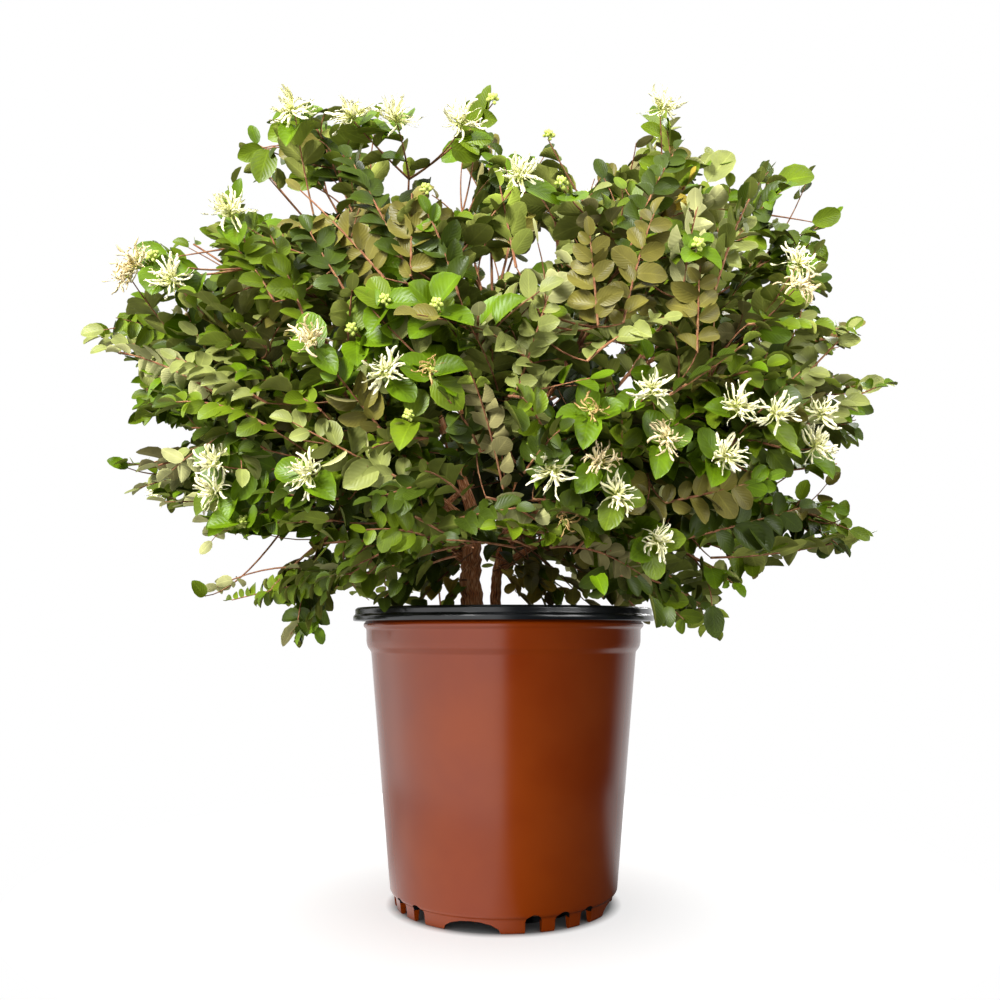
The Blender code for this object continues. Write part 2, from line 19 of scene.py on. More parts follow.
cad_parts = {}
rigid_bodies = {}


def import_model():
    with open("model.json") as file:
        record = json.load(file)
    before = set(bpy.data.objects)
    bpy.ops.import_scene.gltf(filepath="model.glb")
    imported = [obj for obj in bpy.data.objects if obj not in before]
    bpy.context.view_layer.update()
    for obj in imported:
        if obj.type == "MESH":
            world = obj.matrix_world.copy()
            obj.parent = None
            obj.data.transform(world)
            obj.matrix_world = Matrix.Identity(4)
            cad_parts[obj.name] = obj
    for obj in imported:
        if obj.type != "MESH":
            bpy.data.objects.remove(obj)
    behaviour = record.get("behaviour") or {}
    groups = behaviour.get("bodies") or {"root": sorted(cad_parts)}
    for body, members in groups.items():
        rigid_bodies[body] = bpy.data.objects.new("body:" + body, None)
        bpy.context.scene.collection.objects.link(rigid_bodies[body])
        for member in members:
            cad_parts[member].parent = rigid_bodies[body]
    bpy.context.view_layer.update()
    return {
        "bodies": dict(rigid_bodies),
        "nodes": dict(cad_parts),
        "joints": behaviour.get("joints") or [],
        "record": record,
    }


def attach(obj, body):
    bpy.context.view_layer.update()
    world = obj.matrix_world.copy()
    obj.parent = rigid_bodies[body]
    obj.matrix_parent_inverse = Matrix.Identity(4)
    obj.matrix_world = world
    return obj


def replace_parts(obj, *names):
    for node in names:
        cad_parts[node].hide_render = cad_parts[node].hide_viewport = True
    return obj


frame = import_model()
NODES = sorted(frame["nodes"])
MM = 0.001
UP = Vector((0, 0, 1))

# %% [markdown]
# ## Camera
# The picture was taken from close by, a little below the pot's rim and looking slightly up, so the crown
# spreads wide and shows many leaves from beneath. A lens of 34.5 mm on a 36 mm sensor gives the same
# perspective. The two functions change a place in the picture into a place on the plant and back, which later
# helps to set each blossom where it is seen.

# %% Camera
PICTURE = 1000
FOCAL = 958.0
HORIZON_ROW = 630
SENSOR = 36
EYE = Vector((-0.0028, -0.785, 0.21))
PITCH = math.atan((HORIZON_ROW - PICTURE / 2) / FOCAL)


def in_scene(name, data):
    """A new object of the scene, at the origin."""
    made = bpy.data.objects.new(name, data)
    bpy.context.scene.collection.objects.link(made)
    return made


camera = in_scene("camera", bpy.data.cameras.new("camera"))
camera.location = EYE
camera.rotation_euler = (math.pi / 2 + PITCH, 0, 0)
camera.data.sensor_width = SENSOR
camera.data.lens = FOCAL * SENSOR / PICTURE
camera.data.clip_start = 0.01
bpy.context.scene.camera = camera


def seen_at(u, v, y):
    """The point of the plane at depth y that shows at column u and row v of the picture."""
    rise = (PICTURE / 2 - v) / FOCAL
    ray = Vector((
        (u - PICTURE / 2) / FOCAL,
        math.cos(PITCH) - math.sin(PITCH) * rise,
        math.sin(PITCH) + math.cos(PITCH) * rise,
    ))
    return EYE + ray * ((y - EYE.y) / ray.y)


def in_picture(points):
    """Column, row and distance of each point, as rows of an array."""
    apart = np.asarray(points, float) - np.array(EYE)
    deep = apart[:, 1] * math.cos(PITCH) + apart[:, 2] * math.sin(PITCH)
    high = apart[:, 2] * math.cos(PITCH) - apart[:, 1] * math.sin(PITCH)
    half = PICTURE / 2
    return np.stack([half + FOCAL * apart[:, 0] / deep, half - FOCAL * high / deep, deep], axis=1)


print("lens:", round(camera.data.lens, 1), "mm, looking up by", round(math.degrees(PITCH), 1), "degrees")

# %% [markdown]
# ## Helpers for materials and node trees
# Colours are read off a screen as sRGB hex values, while a shader wants linear light, so one function
# converts them. Another adds a node to any tree, sets it up and wires it, whatever its kind.

# %% Colours


def linear(code):
    """The linear colour, with alpha 1, of an sRGB hex code."""
    parts = [int(code[i : i + 2], 16) / 255 for i in (1, 3, 5)]
    return (*[p / 12.92 if p <= 0.04045 else ((p + 0.055) / 1.055) ** 2.4 for p in parts], 1)


print("half grey on a screen is", round(linear("#808080")[0], 2), "of the light")

# %% Nodes and materials


def wire(made, inputs):
    """Gives each named input a value, the output of another node, or a node's first output."""
    for key, value in inputs.items():
        if isinstance(value, bpy.types.Node):
            value = value.outputs[0]
        if isinstance(value, bpy.types.NodeSocket):
            made.id_data.links.new(value, made.inputs[key])
        else:
            made.inputs[key].default_value = value


def node(tree, kind, inputs=None, **settings):
    """Adds a node with these inputs and settings."""
    made = tree.nodes.new(kind)
    for name, value in settings.items():
        setattr(made, name, value)
    wire(made, inputs or {})
    return made


def new_material(name, **values):
    """A material with one Principled shader, whose sockets take the given values."""
    made = bpy.data.materials.new(name)
    made.use_nodes = True
    shader = made.node_tree.nodes["Principled BSDF"]
    wire(shader, {key.replace("_", " "): value for key, value in values.items()})
    made.diffuse_color = values.get("Base_Color", (0.5, 0.5, 0.5, 1))
    return made, made.node_tree, shader


def ramp(tree, factor, *stops):
    """A colour ramp over the factor, from (place, hex colour) stops."""
    made = node(tree, "ShaderNodeValToRGB", {"Fac": factor})
    bands = made.color_ramp.elements
    while len(bands) < len(stops):
        bands.new(0.5)
    for band, (place, code) in zip(bands, stops):
        band.position = place
        band.color = linear(code)
    return made.outputs["Color"]


print("helpers: node, wire, new_material, ramp")

# %% [markdown]
# ## The pot's plastic
# A nursery pot is blow-moulded polypropylene in two layers, brown outside and black inside. Moulding leaves a
# soft gloss with faint waves in it. The waves come from a stretched noise in the bump, and a slow noise deals
# out slightly duller patches in the roughness. A noise's scale is the number of its patches in a metre, so it
# is worked out from how wide one patch is on the real wall.

# %% Pot plastic
DRIFT_SCALE = 14  # patches of tone about 70 mm wide
WAVE_SCALE = (40, 40, 6)  # waves 25 mm wide, drawn out down the wall to 170 mm
GRAIN_SCALE = 2600  # the mould's grain, 0.4 mm, coarser than it is so that it shows


def moulded_plastic(name, dull, bright, roughness, wave):
    """Semi-gloss moulded plastic whose colour drifts between two close tones."""
    made, tree, shader = new_material(name, Base_Color=linear(dull), IOR=1.49)
    place = node(tree, "ShaderNodeTexCoord").outputs["Object"]
    drift = node(tree, "ShaderNodeTexNoise", {"Vector": place, "Scale": DRIFT_SCALE, "Detail": 3})
    tone = ramp(tree, drift.outputs["Fac"], (0.35, dull), (0.65, bright))
    low, high = roughness
    gloss = node(tree, "ShaderNodeMapRange", {0: drift.outputs["Fac"], 1: 0.3, 2: 0.7, 3: low, 4: high})
    stretched = node(tree, "ShaderNodeMapping", {"Vector": place, "Scale": WAVE_SCALE})
    waves = node(tree, "ShaderNodeTexNoise", {"Vector": stretched, "Scale": 1, "Detail": 2})
    grain = node(tree, "ShaderNodeTexNoise", {"Vector": place, "Scale": GRAIN_SCALE, "Detail": 1})
    broad = {"Height": waves.outputs["Fac"], "Strength": wave, "Distance": 0.002}
    coarse = node(tree, "ShaderNodeBump", broad)
    fine = {"Height": grain.outputs["Fac"], "Strength": 0.06, "Distance": 0.0002, "Normal": coarse}
    wire(shader, {"Base Color": tone, "Roughness": gloss, "Normal": node(tree, "ShaderNodeBump", fine)})
    return made


brown_plastic = moulded_plastic("brown_polypropylene_moulded", "#7B2D01", "#853602", (0.19, 0.25), 0.05)
black_plastic = moulded_plastic("black_polypropylene_moulded", "#0E1013", "#15181B", (0.18, 0.26), 0.08)
print("pot plastics:", brown_plastic.name, black_plastic.name)

# %% [markdown]
# ## The pot
# It is a turned shape: one profile of radius and height goes round the axis. Real sheet plastic has no sharp
# corners, so every corner of the profile is first rounded by a short curve. The slots that drain the foot are
# then cut out with bars whose tops are round.

# %% Rounded corners
LONGEST_ROUND = 0.45  # of the way to the next corner, so that two curves never meet


def rounded(profile, reach):
    """The profile with each inner corner replaced by a short curve that starts reach before it."""
    points = [Vector(point) for point in profile]
    made = [points[0]]
    for before, corner, after in zip(points, points[1:], points[2:]):
        first = corner + (before - corner).normalized() * min(reach, (before - corner).length * LONGEST_ROUND)
        last = corner + (after - corner).normalized() * min(reach, (after - corner).length * LONGEST_ROUND)
        for share in (0, 0.33, 0.67, 1):
            made.append(first.lerp(corner, share).lerp(corner.lerp(last, share), share))
    return [*made, points[-1]]


print("one rounded corner takes", len(rounded([(0, 0), (1, 0), (1, 1)], 0.1)) - 2, "points")

# %% Meshes and turned shapes
SAME_POINT = 0.00002
CREASE = math.radians(40)


def mesh_object(name, bm, *materials):
    """A new object from a bmesh, with smooth faces and sharp creases."""
    bmesh.ops.remove_doubles(bm, verts=bm.verts, dist=SAME_POINT)
    bmesh.ops.recalc_face_normals(bm, faces=bm.faces)
    mesh = bpy.data.meshes.new(name)
    bm.to_mesh(mesh)
    bm.free()
    for material in materials:
        mesh.materials.append(material)
    mesh.shade_smooth()
    mesh.set_sharp_from_angle(angle=CREASE)
    return in_scene(name, mesh)


def turned(name, profile, steps, *materials):
    """A closed profile of (radius, height) turned round Z."""
    bm = bmesh.new()
    columns = []
    for step in range(steps):
        spin = Matrix.Rotation(math.tau * step / steps, 3, "Z")
        columns.append([bm.verts.new(spin @ Vector((radius, 0, height))) for radius, height in profile])
    if profile[0][0] > 0:
        columns = [[*column, column[0]] for column in columns]
    for one, two in zip(columns, columns[1:] + columns[:1]):
        for corners in zip(one, one[1:], two[1:], two):
            bm.faces.new(corners)
    return mesh_object(name, bm, *materials)


def evaluated(obj):
    """Makes the object's evaluated shape its own mesh and drops its modifiers."""
    graph = bpy.context.evaluated_depsgraph_get()
    mesh = bpy.data.meshes.new_from_object(obj.evaluated_get(graph))
    mesh.name = obj.name
    obj.modifiers.clear()
    obj.data = mesh
    return obj


print("helpers: mesh_object, turned, evaluated")

# %% Pot sizes
POT_HEIGHT = 227.5 * MM
LIP_RADIUS = 121 * MM
LIP_DEPTH = 10.6 * MM
LIP_CAP = 3.5 * MM
COLLAR_RADIUS = 110.3 * MM
COLLAR_FOOT = POT_HEIGHT - LIP_DEPTH - 19.5 * MM
WALL_TOP = COLLAR_FOOT - 5 * MM
WALL_TOP_RADIUS = 106 * MM
WALL_FOOT_RADIUS = 88.5 * MM
FOOT_RADIUS = 84.5 * MM
FOOT_HEIGHT = 12 * MM
PAD_RADIUS = 60 * MM
CHANNEL_HEIGHT = 9 * MM
WALL = 1.5 * MM
SOIL_LEVEL = 203 * MM
STEPS = 144
print("pot:", POT_HEIGHT / MM, "mm tall,", 2 * LIP_RADIUS / MM, "mm across its lip")

# %% Profile of the pot


def pot_wall():
    """Wall, collar, base and foot of the pot, brown outside and black inside."""
    rim = POT_HEIGHT - LIP_CAP
    floor = CHANNEL_HEIGHT + WALL
    outside = [
        (PAD_RADIUS, 0),
        (PAD_RADIUS + 2 * MM, CHANNEL_HEIGHT),
        (FOOT_RADIUS - 4.5 * MM, CHANNEL_HEIGHT),
        (FOOT_RADIUS - 3.5 * MM, 0),
        (FOOT_RADIUS - MM, 0),
        (FOOT_RADIUS, MM),
        (FOOT_RADIUS + 1.2 * MM, FOOT_HEIGHT - 2 * MM),
        (WALL_FOOT_RADIUS, FOOT_HEIGHT),
        (WALL_FOOT_RADIUS + 0.4 * MM, FOOT_HEIGHT + 4 * MM),
        (WALL_TOP_RADIUS, WALL_TOP - MM),
        (WALL_TOP_RADIUS + 0.2 * MM, WALL_TOP + 0.6 * MM),
        (COLLAR_RADIUS - 1.2 * MM, COLLAR_FOOT - 0.6 * MM),
        (COLLAR_RADIUS - 0.3 * MM, COLLAR_FOOT + 3.2 * MM),
        (COLLAR_RADIUS, COLLAR_FOOT + 13.5 * MM),
        (COLLAR_RADIUS + 2.2 * MM, COLLAR_FOOT + 15.2 * MM),
        (COLLAR_RADIUS + 2.4 * MM, COLLAR_FOOT + 17.4 * MM),
        (COLLAR_RADIUS + 0.6 * MM, COLLAR_FOOT + 19.2 * MM),
        (COLLAR_RADIUS, COLLAR_FOOT + 20.6 * MM),
        (COLLAR_RADIUS, rim),
    ]
    inside = [
        (COLLAR_RADIUS - WALL, rim),
        (COLLAR_RADIUS - WALL, COLLAR_FOOT + 3 * MM),
        (WALL_TOP_RADIUS - WALL, WALL_TOP),
        (WALL_FOOT_RADIUS - WALL, FOOT_HEIGHT + WALL),
        (FOOT_RADIUS - WALL, floor),
        (PAD_RADIUS, floor),
        (PAD_RADIUS - 2 * MM, WALL),
    ]
    profile = [(0, 0), *rounded(outside, 1.4 * MM), *inside, (0, WALL)]
    return turned("pot_wall", profile, STEPS, brown_plastic, black_plastic)


wall = pot_wall()
print("pot wall before its slots:", len(wall.data.polygons), "faces")

# %% [markdown]
# Water leaves through the foot. Three slots stand close together in each of four groups, and a wide low arch
# lies between one group and the next. Bars with round tops are laid across the foot and cut away by a
# Boolean.

# %% Slots of the foot
SLOT_GROUPS, FIRST_GROUP = 4, 299  # the azimuth of the first group, in degrees
SLOT_TURNS = (-15, 0, 15)
SLOT = (12 * MM, 13.5 * MM, 0.42)  # width, height, and how much of the height is round
ARCH = (42 * MM, 8.5 * MM, 0.9)
BAR_DROP, BAR_OVERLAP = 6 * MM, 6 * MM
BAR_STEPS = 8


def cut_foot(wall):
    """Cuts the groups of slots and the arches between them."""
    bm = bmesh.new()
    for group in range(SLOT_GROUPS):
        middle = FIRST_GROUP + group * 360 / SLOT_GROUPS
        bars = [(middle + turn, SLOT) for turn in SLOT_TURNS]
        for turn, (width, height, roundness) in [*bars, (middle + 180 / SLOT_GROUPS, ARCH)]:
            add_bar(bm, math.radians(turn), width, height, height * roundness)
    cutter = mesh_object("cutter", bm)
    boolean = wall.modifiers.new("slots", "BOOLEAN")
    boolean.operation = "DIFFERENCE"
    boolean.object = cutter
    evaluated(wall)
    bpy.data.objects.remove(cutter)


def add_bar(bm, turn, width, height, shoulder):
    """Adds a bar that crosses the foot, with a round top that starts a shoulder below its height."""
    outline = [(-width / 2, -BAR_DROP), (width / 2, -BAR_DROP)]
    for step in range(BAR_STEPS + 1):
        angle = math.pi * step / BAR_STEPS
        outline.append((math.cos(angle) * width / 2, height - shoulder + math.sin(angle) * shoulder))
    spin = Matrix.Rotation(turn, 4, "Z")
    ends = [
        [bm.verts.new(spin @ Vector((r, y, z))) for y, z in outline]
        for r in (PAD_RADIUS + BAR_OVERLAP, WALL_FOOT_RADIUS + BAR_OVERLAP)
    ]
    bm.faces.new(ends[0])
    bm.faces.new(reversed(ends[1]))
    for i in range(len(outline)):
        j = (i + 1) % len(outline)
        bm.faces.new((ends[0][j], ends[0][i], ends[1][i], ends[1][j]))


cut_foot(wall)
print("pot wall with its slots:", len(wall.data.polygons), "faces")

# %% [markdown]
# The two layers of plastic are one mesh. A face whose middle lies deeper than half the wall's thickness takes
# the black inner layer.

# %% Layers of the wall
INNER_LAYER = 0.9 * MM
FOOT_INSET = 4.5 * MM
UNDERSIDE = 0.1 * MM


def is_inner(place):
    """Whether a face with its middle here belongs to the black layer."""
    slope = (WALL_TOP_RADIUS - WALL_FOOT_RADIUS) / (WALL_TOP - FOOT_HEIGHT)
    skin = WALL_FOOT_RADIUS + slope * (min(place.z, WALL_TOP) - FOOT_HEIGHT)
    skin -= FOOT_INSET * (place.z < FOOT_HEIGHT)
    return math.hypot(place.x, place.y) < skin - INNER_LAYER and place.z > UNDERSIDE


for face in wall.data.polygons:
    face.material_index = 1 if is_inner(face.center) else 0
wall.data.shade_smooth()
wall.data.set_sharp_from_angle(angle=CREASE)
print("black faces of the wall:", sum(face.material_index for face in wall.data.polygons))

# %% [markdown]
# ## The rolled lip
# A black lip is welded over the edge. Its profile has two small tiers and a groove between them, which catch
# the light as thin bright lines.

# %% Pot lip
low, seat, inner = POT_HEIGHT - LIP_DEPTH, POT_HEIGHT - LIP_CAP + 0.3 * MM, COLLAR_RADIUS - WALL
lip_profile = rounded(
    [
        (inner, seat),
        (inner, POT_HEIGHT - 0.9 * MM),
        (inner + 0.9 * MM, POT_HEIGHT),
        (LIP_RADIUS - 3.2 * MM, POT_HEIGHT),
        (LIP_RADIUS - 1.5 * MM, POT_HEIGHT - 1.5 * MM),
        (LIP_RADIUS - 1.7 * MM, POT_HEIGHT - 5.4 * MM),
        (LIP_RADIUS - 0.3 * MM, POT_HEIGHT - 6.4 * MM),
        (LIP_RADIUS, POT_HEIGHT - 8.0 * MM),
        (LIP_RADIUS - 0.2 * MM, low + 0.4 * MM),
        (LIP_RADIUS - 1.6 * MM, low),
        (LIP_RADIUS - 3.0 * MM, low + 1.4 * MM),
        (COLLAR_RADIUS + 0.6 * MM, low + 2.4 * MM),
        (COLLAR_RADIUS + 0.3 * MM, seat),
    ],
    0.7 * MM,
)
lip = turned("pot_rolled_lip", lip_profile, STEPS, black_plastic)
print("lip:", len(lip.data.polygons), "faces")

# %% [markdown]
# ## Potting mix
# The root ball fills the pot with composted bark. It is a turned plug whose top is roughened by moving its
# points up and down a little. The crumbs are a noise with patches of 6 mm, in the colour and in the bump.

# %% Potting mix
CRUMB_SCALE = 160
CRUMB_HEIGHT = 1.2  # in millimetres, up and down
mix, tree, shader = new_material("composted_bark_mix", Base_Color=linear("#3A2618"), Roughness=0.92)
place = node(tree, "ShaderNodeTexCoord").outputs["Object"]
crumbs = node(tree, "ShaderNodeTexNoise", {"Vector": place, "Scale": CRUMB_SCALE, "Detail": 6})
tone = ramp(tree, crumbs.outputs["Fac"], (0.3, "#1E140D"), (0.5, "#3B2818"), (0.72, "#6A4A30"))
bump = node(tree, "ShaderNodeBump", {"Height": crumbs.outputs["Fac"], "Strength": 0.8, "Distance": 0.0015})
wire(shader, {"Base Color": tone, "Normal": bump})


def soil_plug():
    """The root ball, with rings close enough together to take the roughness of its top."""
    play, sunk = 0.3 * MM, 3 * MM
    edge = COLLAR_RADIUS - 3 * WALL
    wall_edge = WALL_TOP_RADIUS - WALL - play
    foot_edge = WALL_FOOT_RADIUS - WALL - play
    floor = CHANNEL_HEIGHT + WALL + play
    rings = [(edge * (1 - i / 30), SOIL_LEVEL - sunk * max(0, 1 - i / 15)) for i in range(31)]
    foot = [(0, floor), (PAD_RADIUS, floor), (FOOT_RADIUS - 2 * MM, floor)]
    side = [(foot_edge, FOOT_HEIGHT + 2 * MM), (wall_edge, WALL_TOP)]
    plug = turned("soil_plug", [*foot, *side, *rings], 96, mix)
    rng = random.Random("crumbs")
    for vert in plug.data.vertices:
        if vert.co.z > SOIL_LEVEL - 3.5 * MM and vert.co.xy.length < edge - MM:
            vert.co.z += rng.uniform(-CRUMB_HEIGHT, CRUMB_HEIGHT) * MM
    return plug


plug = soil_plug()
print("root ball:", len(plug.data.polygons), "faces")

# %% [markdown]
# Bark chips lie on the mix. They are the kind of small repeated thing that Geometry Nodes deal out well:
# points are spread over the top with a fixed seed, and each carries one of a few chip shapes.

# %% Chip shapes
CHIP_SIZE = (9, 5, 2.4)
CHIP_SHAPES = 4


def chip_shapes():
    """A few rough bark chips, as flattened, twisted boxes with uneven corners."""
    group = bpy.data.collections.new("chips")
    rng = random.Random("chips")
    for k in range(CHIP_SHAPES):
        bm = bmesh.new()
        bmesh.ops.create_cube(bm, size=1)
        bmesh.ops.subdivide_edges(bm, edges=bm.edges, cuts=1, use_grid_fill=True)
        for vert in bm.verts:
            vert.co = Vector([part * size for part, size in zip(vert.co, CHIP_SIZE)]) * MM
            vert.co += Vector([rng.uniform(-0.8, 0.8) * MM for _ in range(3)])
        chip = mesh_object(f"chip_{k}", bm, mix)
        bpy.context.scene.collection.objects.unlink(chip)
        group.objects.link(chip)
    return group


chips = chip_shapes()

# %% [markdown]
# Two helpers serve every Geometry Nodes tree of this lesson. One makes a tree with named inputs, the other
# runs it on an object with values for them and keeps the result as a plain mesh.

# %% Helpers for Geometry Nodes


def group_tree(name, *sockets):
    """A new Geometry Nodes tree with a Geometry input and output and further named inputs."""
    tree = bpy.data.node_groups.new(name, "GeometryNodeTree")
    tree.interface.new_socket("Geometry", in_out="INPUT", socket_type="NodeSocketGeometry")
    tree.interface.new_socket("Geometry", in_out="OUTPUT", socket_type="NodeSocketGeometry")
    for label, kind in sockets:
        tree.interface.new_socket(label, in_out="INPUT", socket_type=kind)
    return tree, node(tree, "NodeGroupInput").outputs


def grown(obj, tree, **values):
    """Runs the tree on the object with these input values and keeps the result as its mesh."""
    modifier = obj.modifiers.new(tree.name, "NODES")
    modifier.node_group = tree
    for item in tree.interface.items_tree:
        if item.in_out == "INPUT" and item.name.replace(" ", "_") in values:
            modifier[item.identifier] = values[item.name.replace(" ", "_")]
    return evaluated(obj)


print("helpers: group_tree, grown")

# %% Chip tree
LOOKS_UP = 0.5
CHIP_REACH = COLLAR_RADIUS - 13 * MM
CHIP_TILT = 0.35
CHIP_SCALES = (0.5, 1.25)


def chip_tree():
    """Spreads chips over the faces that look up."""
    inputs = [("Chips", "NodeSocketCollection"), ("Density", "NodeSocketFloat"), ("Seed", "NodeSocketInt")]
    tree, given = group_tree("bark_chips", *inputs, ("Finish", "NodeSocketMaterial"))
    normal = node(tree, "ShaderNodeSeparateXYZ", {0: node(tree, "GeometryNodeInputNormal")})
    facing = node(tree, "ShaderNodeMath", {0: normal.outputs[2], 1: LOOKS_UP}, operation="GREATER_THAN")
    place = node(tree, "ShaderNodeSeparateXYZ", {0: node(tree, "GeometryNodeInputPosition")})
    level = node(tree, "ShaderNodeCombineXYZ", {0: place.outputs[0], 1: place.outputs[1]})
    reach = node(tree, "ShaderNodeVectorMath", {0: level}, operation="LENGTH").outputs["Value"]
    inside = node(tree, "ShaderNodeMath", {0: reach, 1: CHIP_REACH}, operation="LESS_THAN")
    top = node(tree, "ShaderNodeMath", {0: facing, 1: inside}, operation="MULTIPLY")
    spread = {"Mesh": given["Geometry"], "Selection": top, "Density": given["Density"]}
    points = node(tree, "GeometryNodeDistributePointsOnFaces", {**spread, "Seed": given["Seed"]})
    stock = {"Collection": given["Chips"], "Separate Children": True}
    shapes = node(tree, "GeometryNodeCollectionInfo", stock)
    span = {0: (-CHIP_TILT, -CHIP_TILT, 0), 1: (CHIP_TILT, CHIP_TILT, math.tau), "Seed": 3}
    turn = node(tree, "FunctionNodeRandomValue", span, data_type="FLOAT_VECTOR")
    low, high = CHIP_SCALES
    size = node(tree, "FunctionNodeRandomValue", {2: low, 3: high, "Seed": 5}, data_type="FLOAT")
    kind = node(tree, "FunctionNodeRandomValue", {4: 0, 5: CHIP_SHAPES - 1, "Seed": 7}, data_type="INT")
    chips = node(tree, "GeometryNodeInstanceOnPoints", {
        "Points": points.outputs["Points"],
        "Instance": shapes,
        "Pick Instance": True,
        "Instance Index": kind.outputs[2],
        "Rotation": turn,
        "Scale": size.outputs[1],
    })
    both = node(tree, "GeometryNodeJoinGeometry", {0: chips})
    wire(both, {0: given["Geometry"]})
    real = node(tree, "GeometryNodeRealizeInstances", {0: both})
    dressed = node(tree, "GeometryNodeSetMaterial", {"Geometry": real, "Material": given["Finish"]})
    node(tree, "NodeGroupOutput", {0: dressed})
    return tree


CHIPS_PER_SQUARE_METRE = 19000.0
soil = grown(plug, chip_tree(), Chips=chips, Density=CHIPS_PER_SQUARE_METRE, Seed=11, Finish=mix)
soil.name = "potting_mix"
print("potting mix:", len(soil.data.polygons), "faces")

# %% [markdown]
# ## The plan of the limbs
# The same rule as in the solid model gives every limb: a trunk and a second stem leave the soil, and each row
# of the table sends a bough from its carrier towards one mass of foliage. All directions are seen from one
# hub near the fork. The table is repeated here because this script can't read the other file.

# %% Measures of the limbs
TRUNK_FOOT, TRUNK_BEND = Vector((-0.022, 0.002, 0.2033)), Vector((-0.031, -0.001, 0.258))
TRUNK_TIP = Vector((-0.023, 0.0, 0.298))
STEM_FOOT, STEM_BEND = Vector((-0.003, 0.008, 0.2033)), Vector((-0.012, 0.008, 0.250))
STEM_TIP = Vector((0.004, 0.008, 0.290))
TRUNK_RADII, TRUNK_FLARE = (8.2 * MM, 6.2 * MM), 1.55
STEM_RADII, STEM_FLARE = (4.6 * MM, 3.9 * MM), 1.4
HUB = Vector((-0.015, 0.0, 0.322))
FOOT_SHARE = 0.42  # where the foliage begins, as a share of the mass's reach
MASS_STEM = 26 * MM
BOUGH_ARCH = 0.13  # rise of the arch, as a share of the bough's length
BOUGH_TAPER = 0.58  # tip radius over root radius
LEADERS = 5
LEADER_ARCH = 0.12
LEADER_SPREAD = 0.6  # share of the mass's wedge that the leaders take up
WIDEST_SPREAD = 26  # degrees
SHORTEST_REACH = 0.86
LEADER_STARTS = (0.45, 0.95)  # along the mass's stem
FINE = 25  # points on a limb's path, where the solid has 5
print("hub at", [round(v, 3) for v in HUB])

# %% Masses of foliage
Mass = namedtuple("Mass", "name azimuth rise reach carrier share root_radius blossoms")
MASSES = [Mass(*row) for row in (
    ("top_left", 176, 62, 0.338, "trunk", 1.00, 4.3, 3),
    ("left_mid", 181, 21, 0.330, "trunk", 0.90, 4.4, 0),
    ("front_left", 222, 8, 0.272, "trunk", 0.78, 3.6, 2),
    ("back_left", 136, 12, 0.290, "trunk", 0.80, 3.6, 1),
    ("low_left", 188, -15, 0.215, "trunk", 0.60, 3.6, 0),
    ("top_right", 5, 65, 0.340, "second_stem", 1.00, 3.6, 1),
    ("right_mid", 358, 16, 0.318, "second_stem", 0.88, 3.5, 2),
    ("front_right", 316, 9, 0.275, "second_stem", 0.76, 3.3, 3),
    ("back_right", 44, 12, 0.285, "second_stem", 0.80, 3.3, 1),
    ("low_right", 2, -6, 0.285, "second_stem", 0.62, 3.0, 0),
    ("left_lower", 172, 2, 0.280, "left_mid", 0.34, 2.9, 1),
    ("left_upper", 184, 40, 0.335, "left_mid", 0.52, 2.9, 2),
    ("top_centre", 84, 86, 0.318, "top_left", 0.34, 2.9, 2),
    ("front_low_left", 244, 0, 0.222, "front_left", 0.30, 2.6, 0),
    ("front_upper_left", 234, 38, 0.290, "front_left", 0.52, 2.7, 2),
    ("front_centre", 270, 14, 0.268, "front_right", 0.36, 2.5, 1),
    ("front_low_right", 300, 0, 0.230, "front_right", 0.24, 2.4, 1),
    ("droop_right", 336, -20, 0.205, "low_right", 0.40, 2.3, 0),
    ("front_upper_right", 306, 38, 0.290, "top_right", 0.34, 2.6, 2),
    ("right_upper", 0, 39, 0.335, "right_mid", 0.50, 2.7, 1),
    ("back_centre", 90, 12, 0.275, "back_left", 0.36, 2.6, 1),
    ("back_upper_left", 126, 42, 0.295, "back_left", 0.54, 2.7, 1),
    ("back_upper_right", 56, 42, 0.298, "back_right", 0.52, 2.6, 1),
    ("back_low_left", 118, -10, 0.235, "back_left", 0.24, 2.5, 0),
    ("back_low_right", 62, -10, 0.235, "back_right", 0.24, 2.4, 0),
)]
print("masses:", len(MASSES))

# %% Paths


def bezier(start, bend, end, count):
    """Count points along the curve that leaves start towards bend and arrives at end."""
    shares = [i / (count - 1) for i in range(count)]
    return [start * (1 - s) ** 2 + bend * 2 * s * (1 - s) + end * s**2 for s in shares]


def tapered(first, last, count):
    """Count radii that change evenly from the first to the last."""
    return [first + (last - first) * i / (count - 1) for i in range(count)]


def along(points, share):
    """The point at a share of the way along a path, by point count."""
    place = share * (len(points) - 1)
    index = min(int(place), len(points) - 2)
    return points[index].lerp(points[index + 1], place - index)


def tangents(points):
    """The direction of the path at each of its points."""
    last = len(points) - 1
    return [(points[min(i + 1, last)] - points[max(i - 1, 0)]).normalized() for i in range(last + 1)]


def length_of(points):
    return sum((b - a).length for a, b in zip(points, points[1:]))


def rows_of(points):
    """The points as rows of an array."""
    return np.array([tuple(point) for point in points])


print("helpers: bezier, tapered, along, tangents, length_of, rows_of")

# %% Limbs
Limb = namedtuple("Limb", "name points radii")


def mass_axis(mass):
    """The direction of the mass, seen from the hub."""
    azimuth, rise = math.radians(mass.azimuth), math.radians(mass.rise)
    return Vector((math.cos(azimuth) * math.cos(rise), math.sin(azimuth) * math.cos(rise), math.sin(rise)))


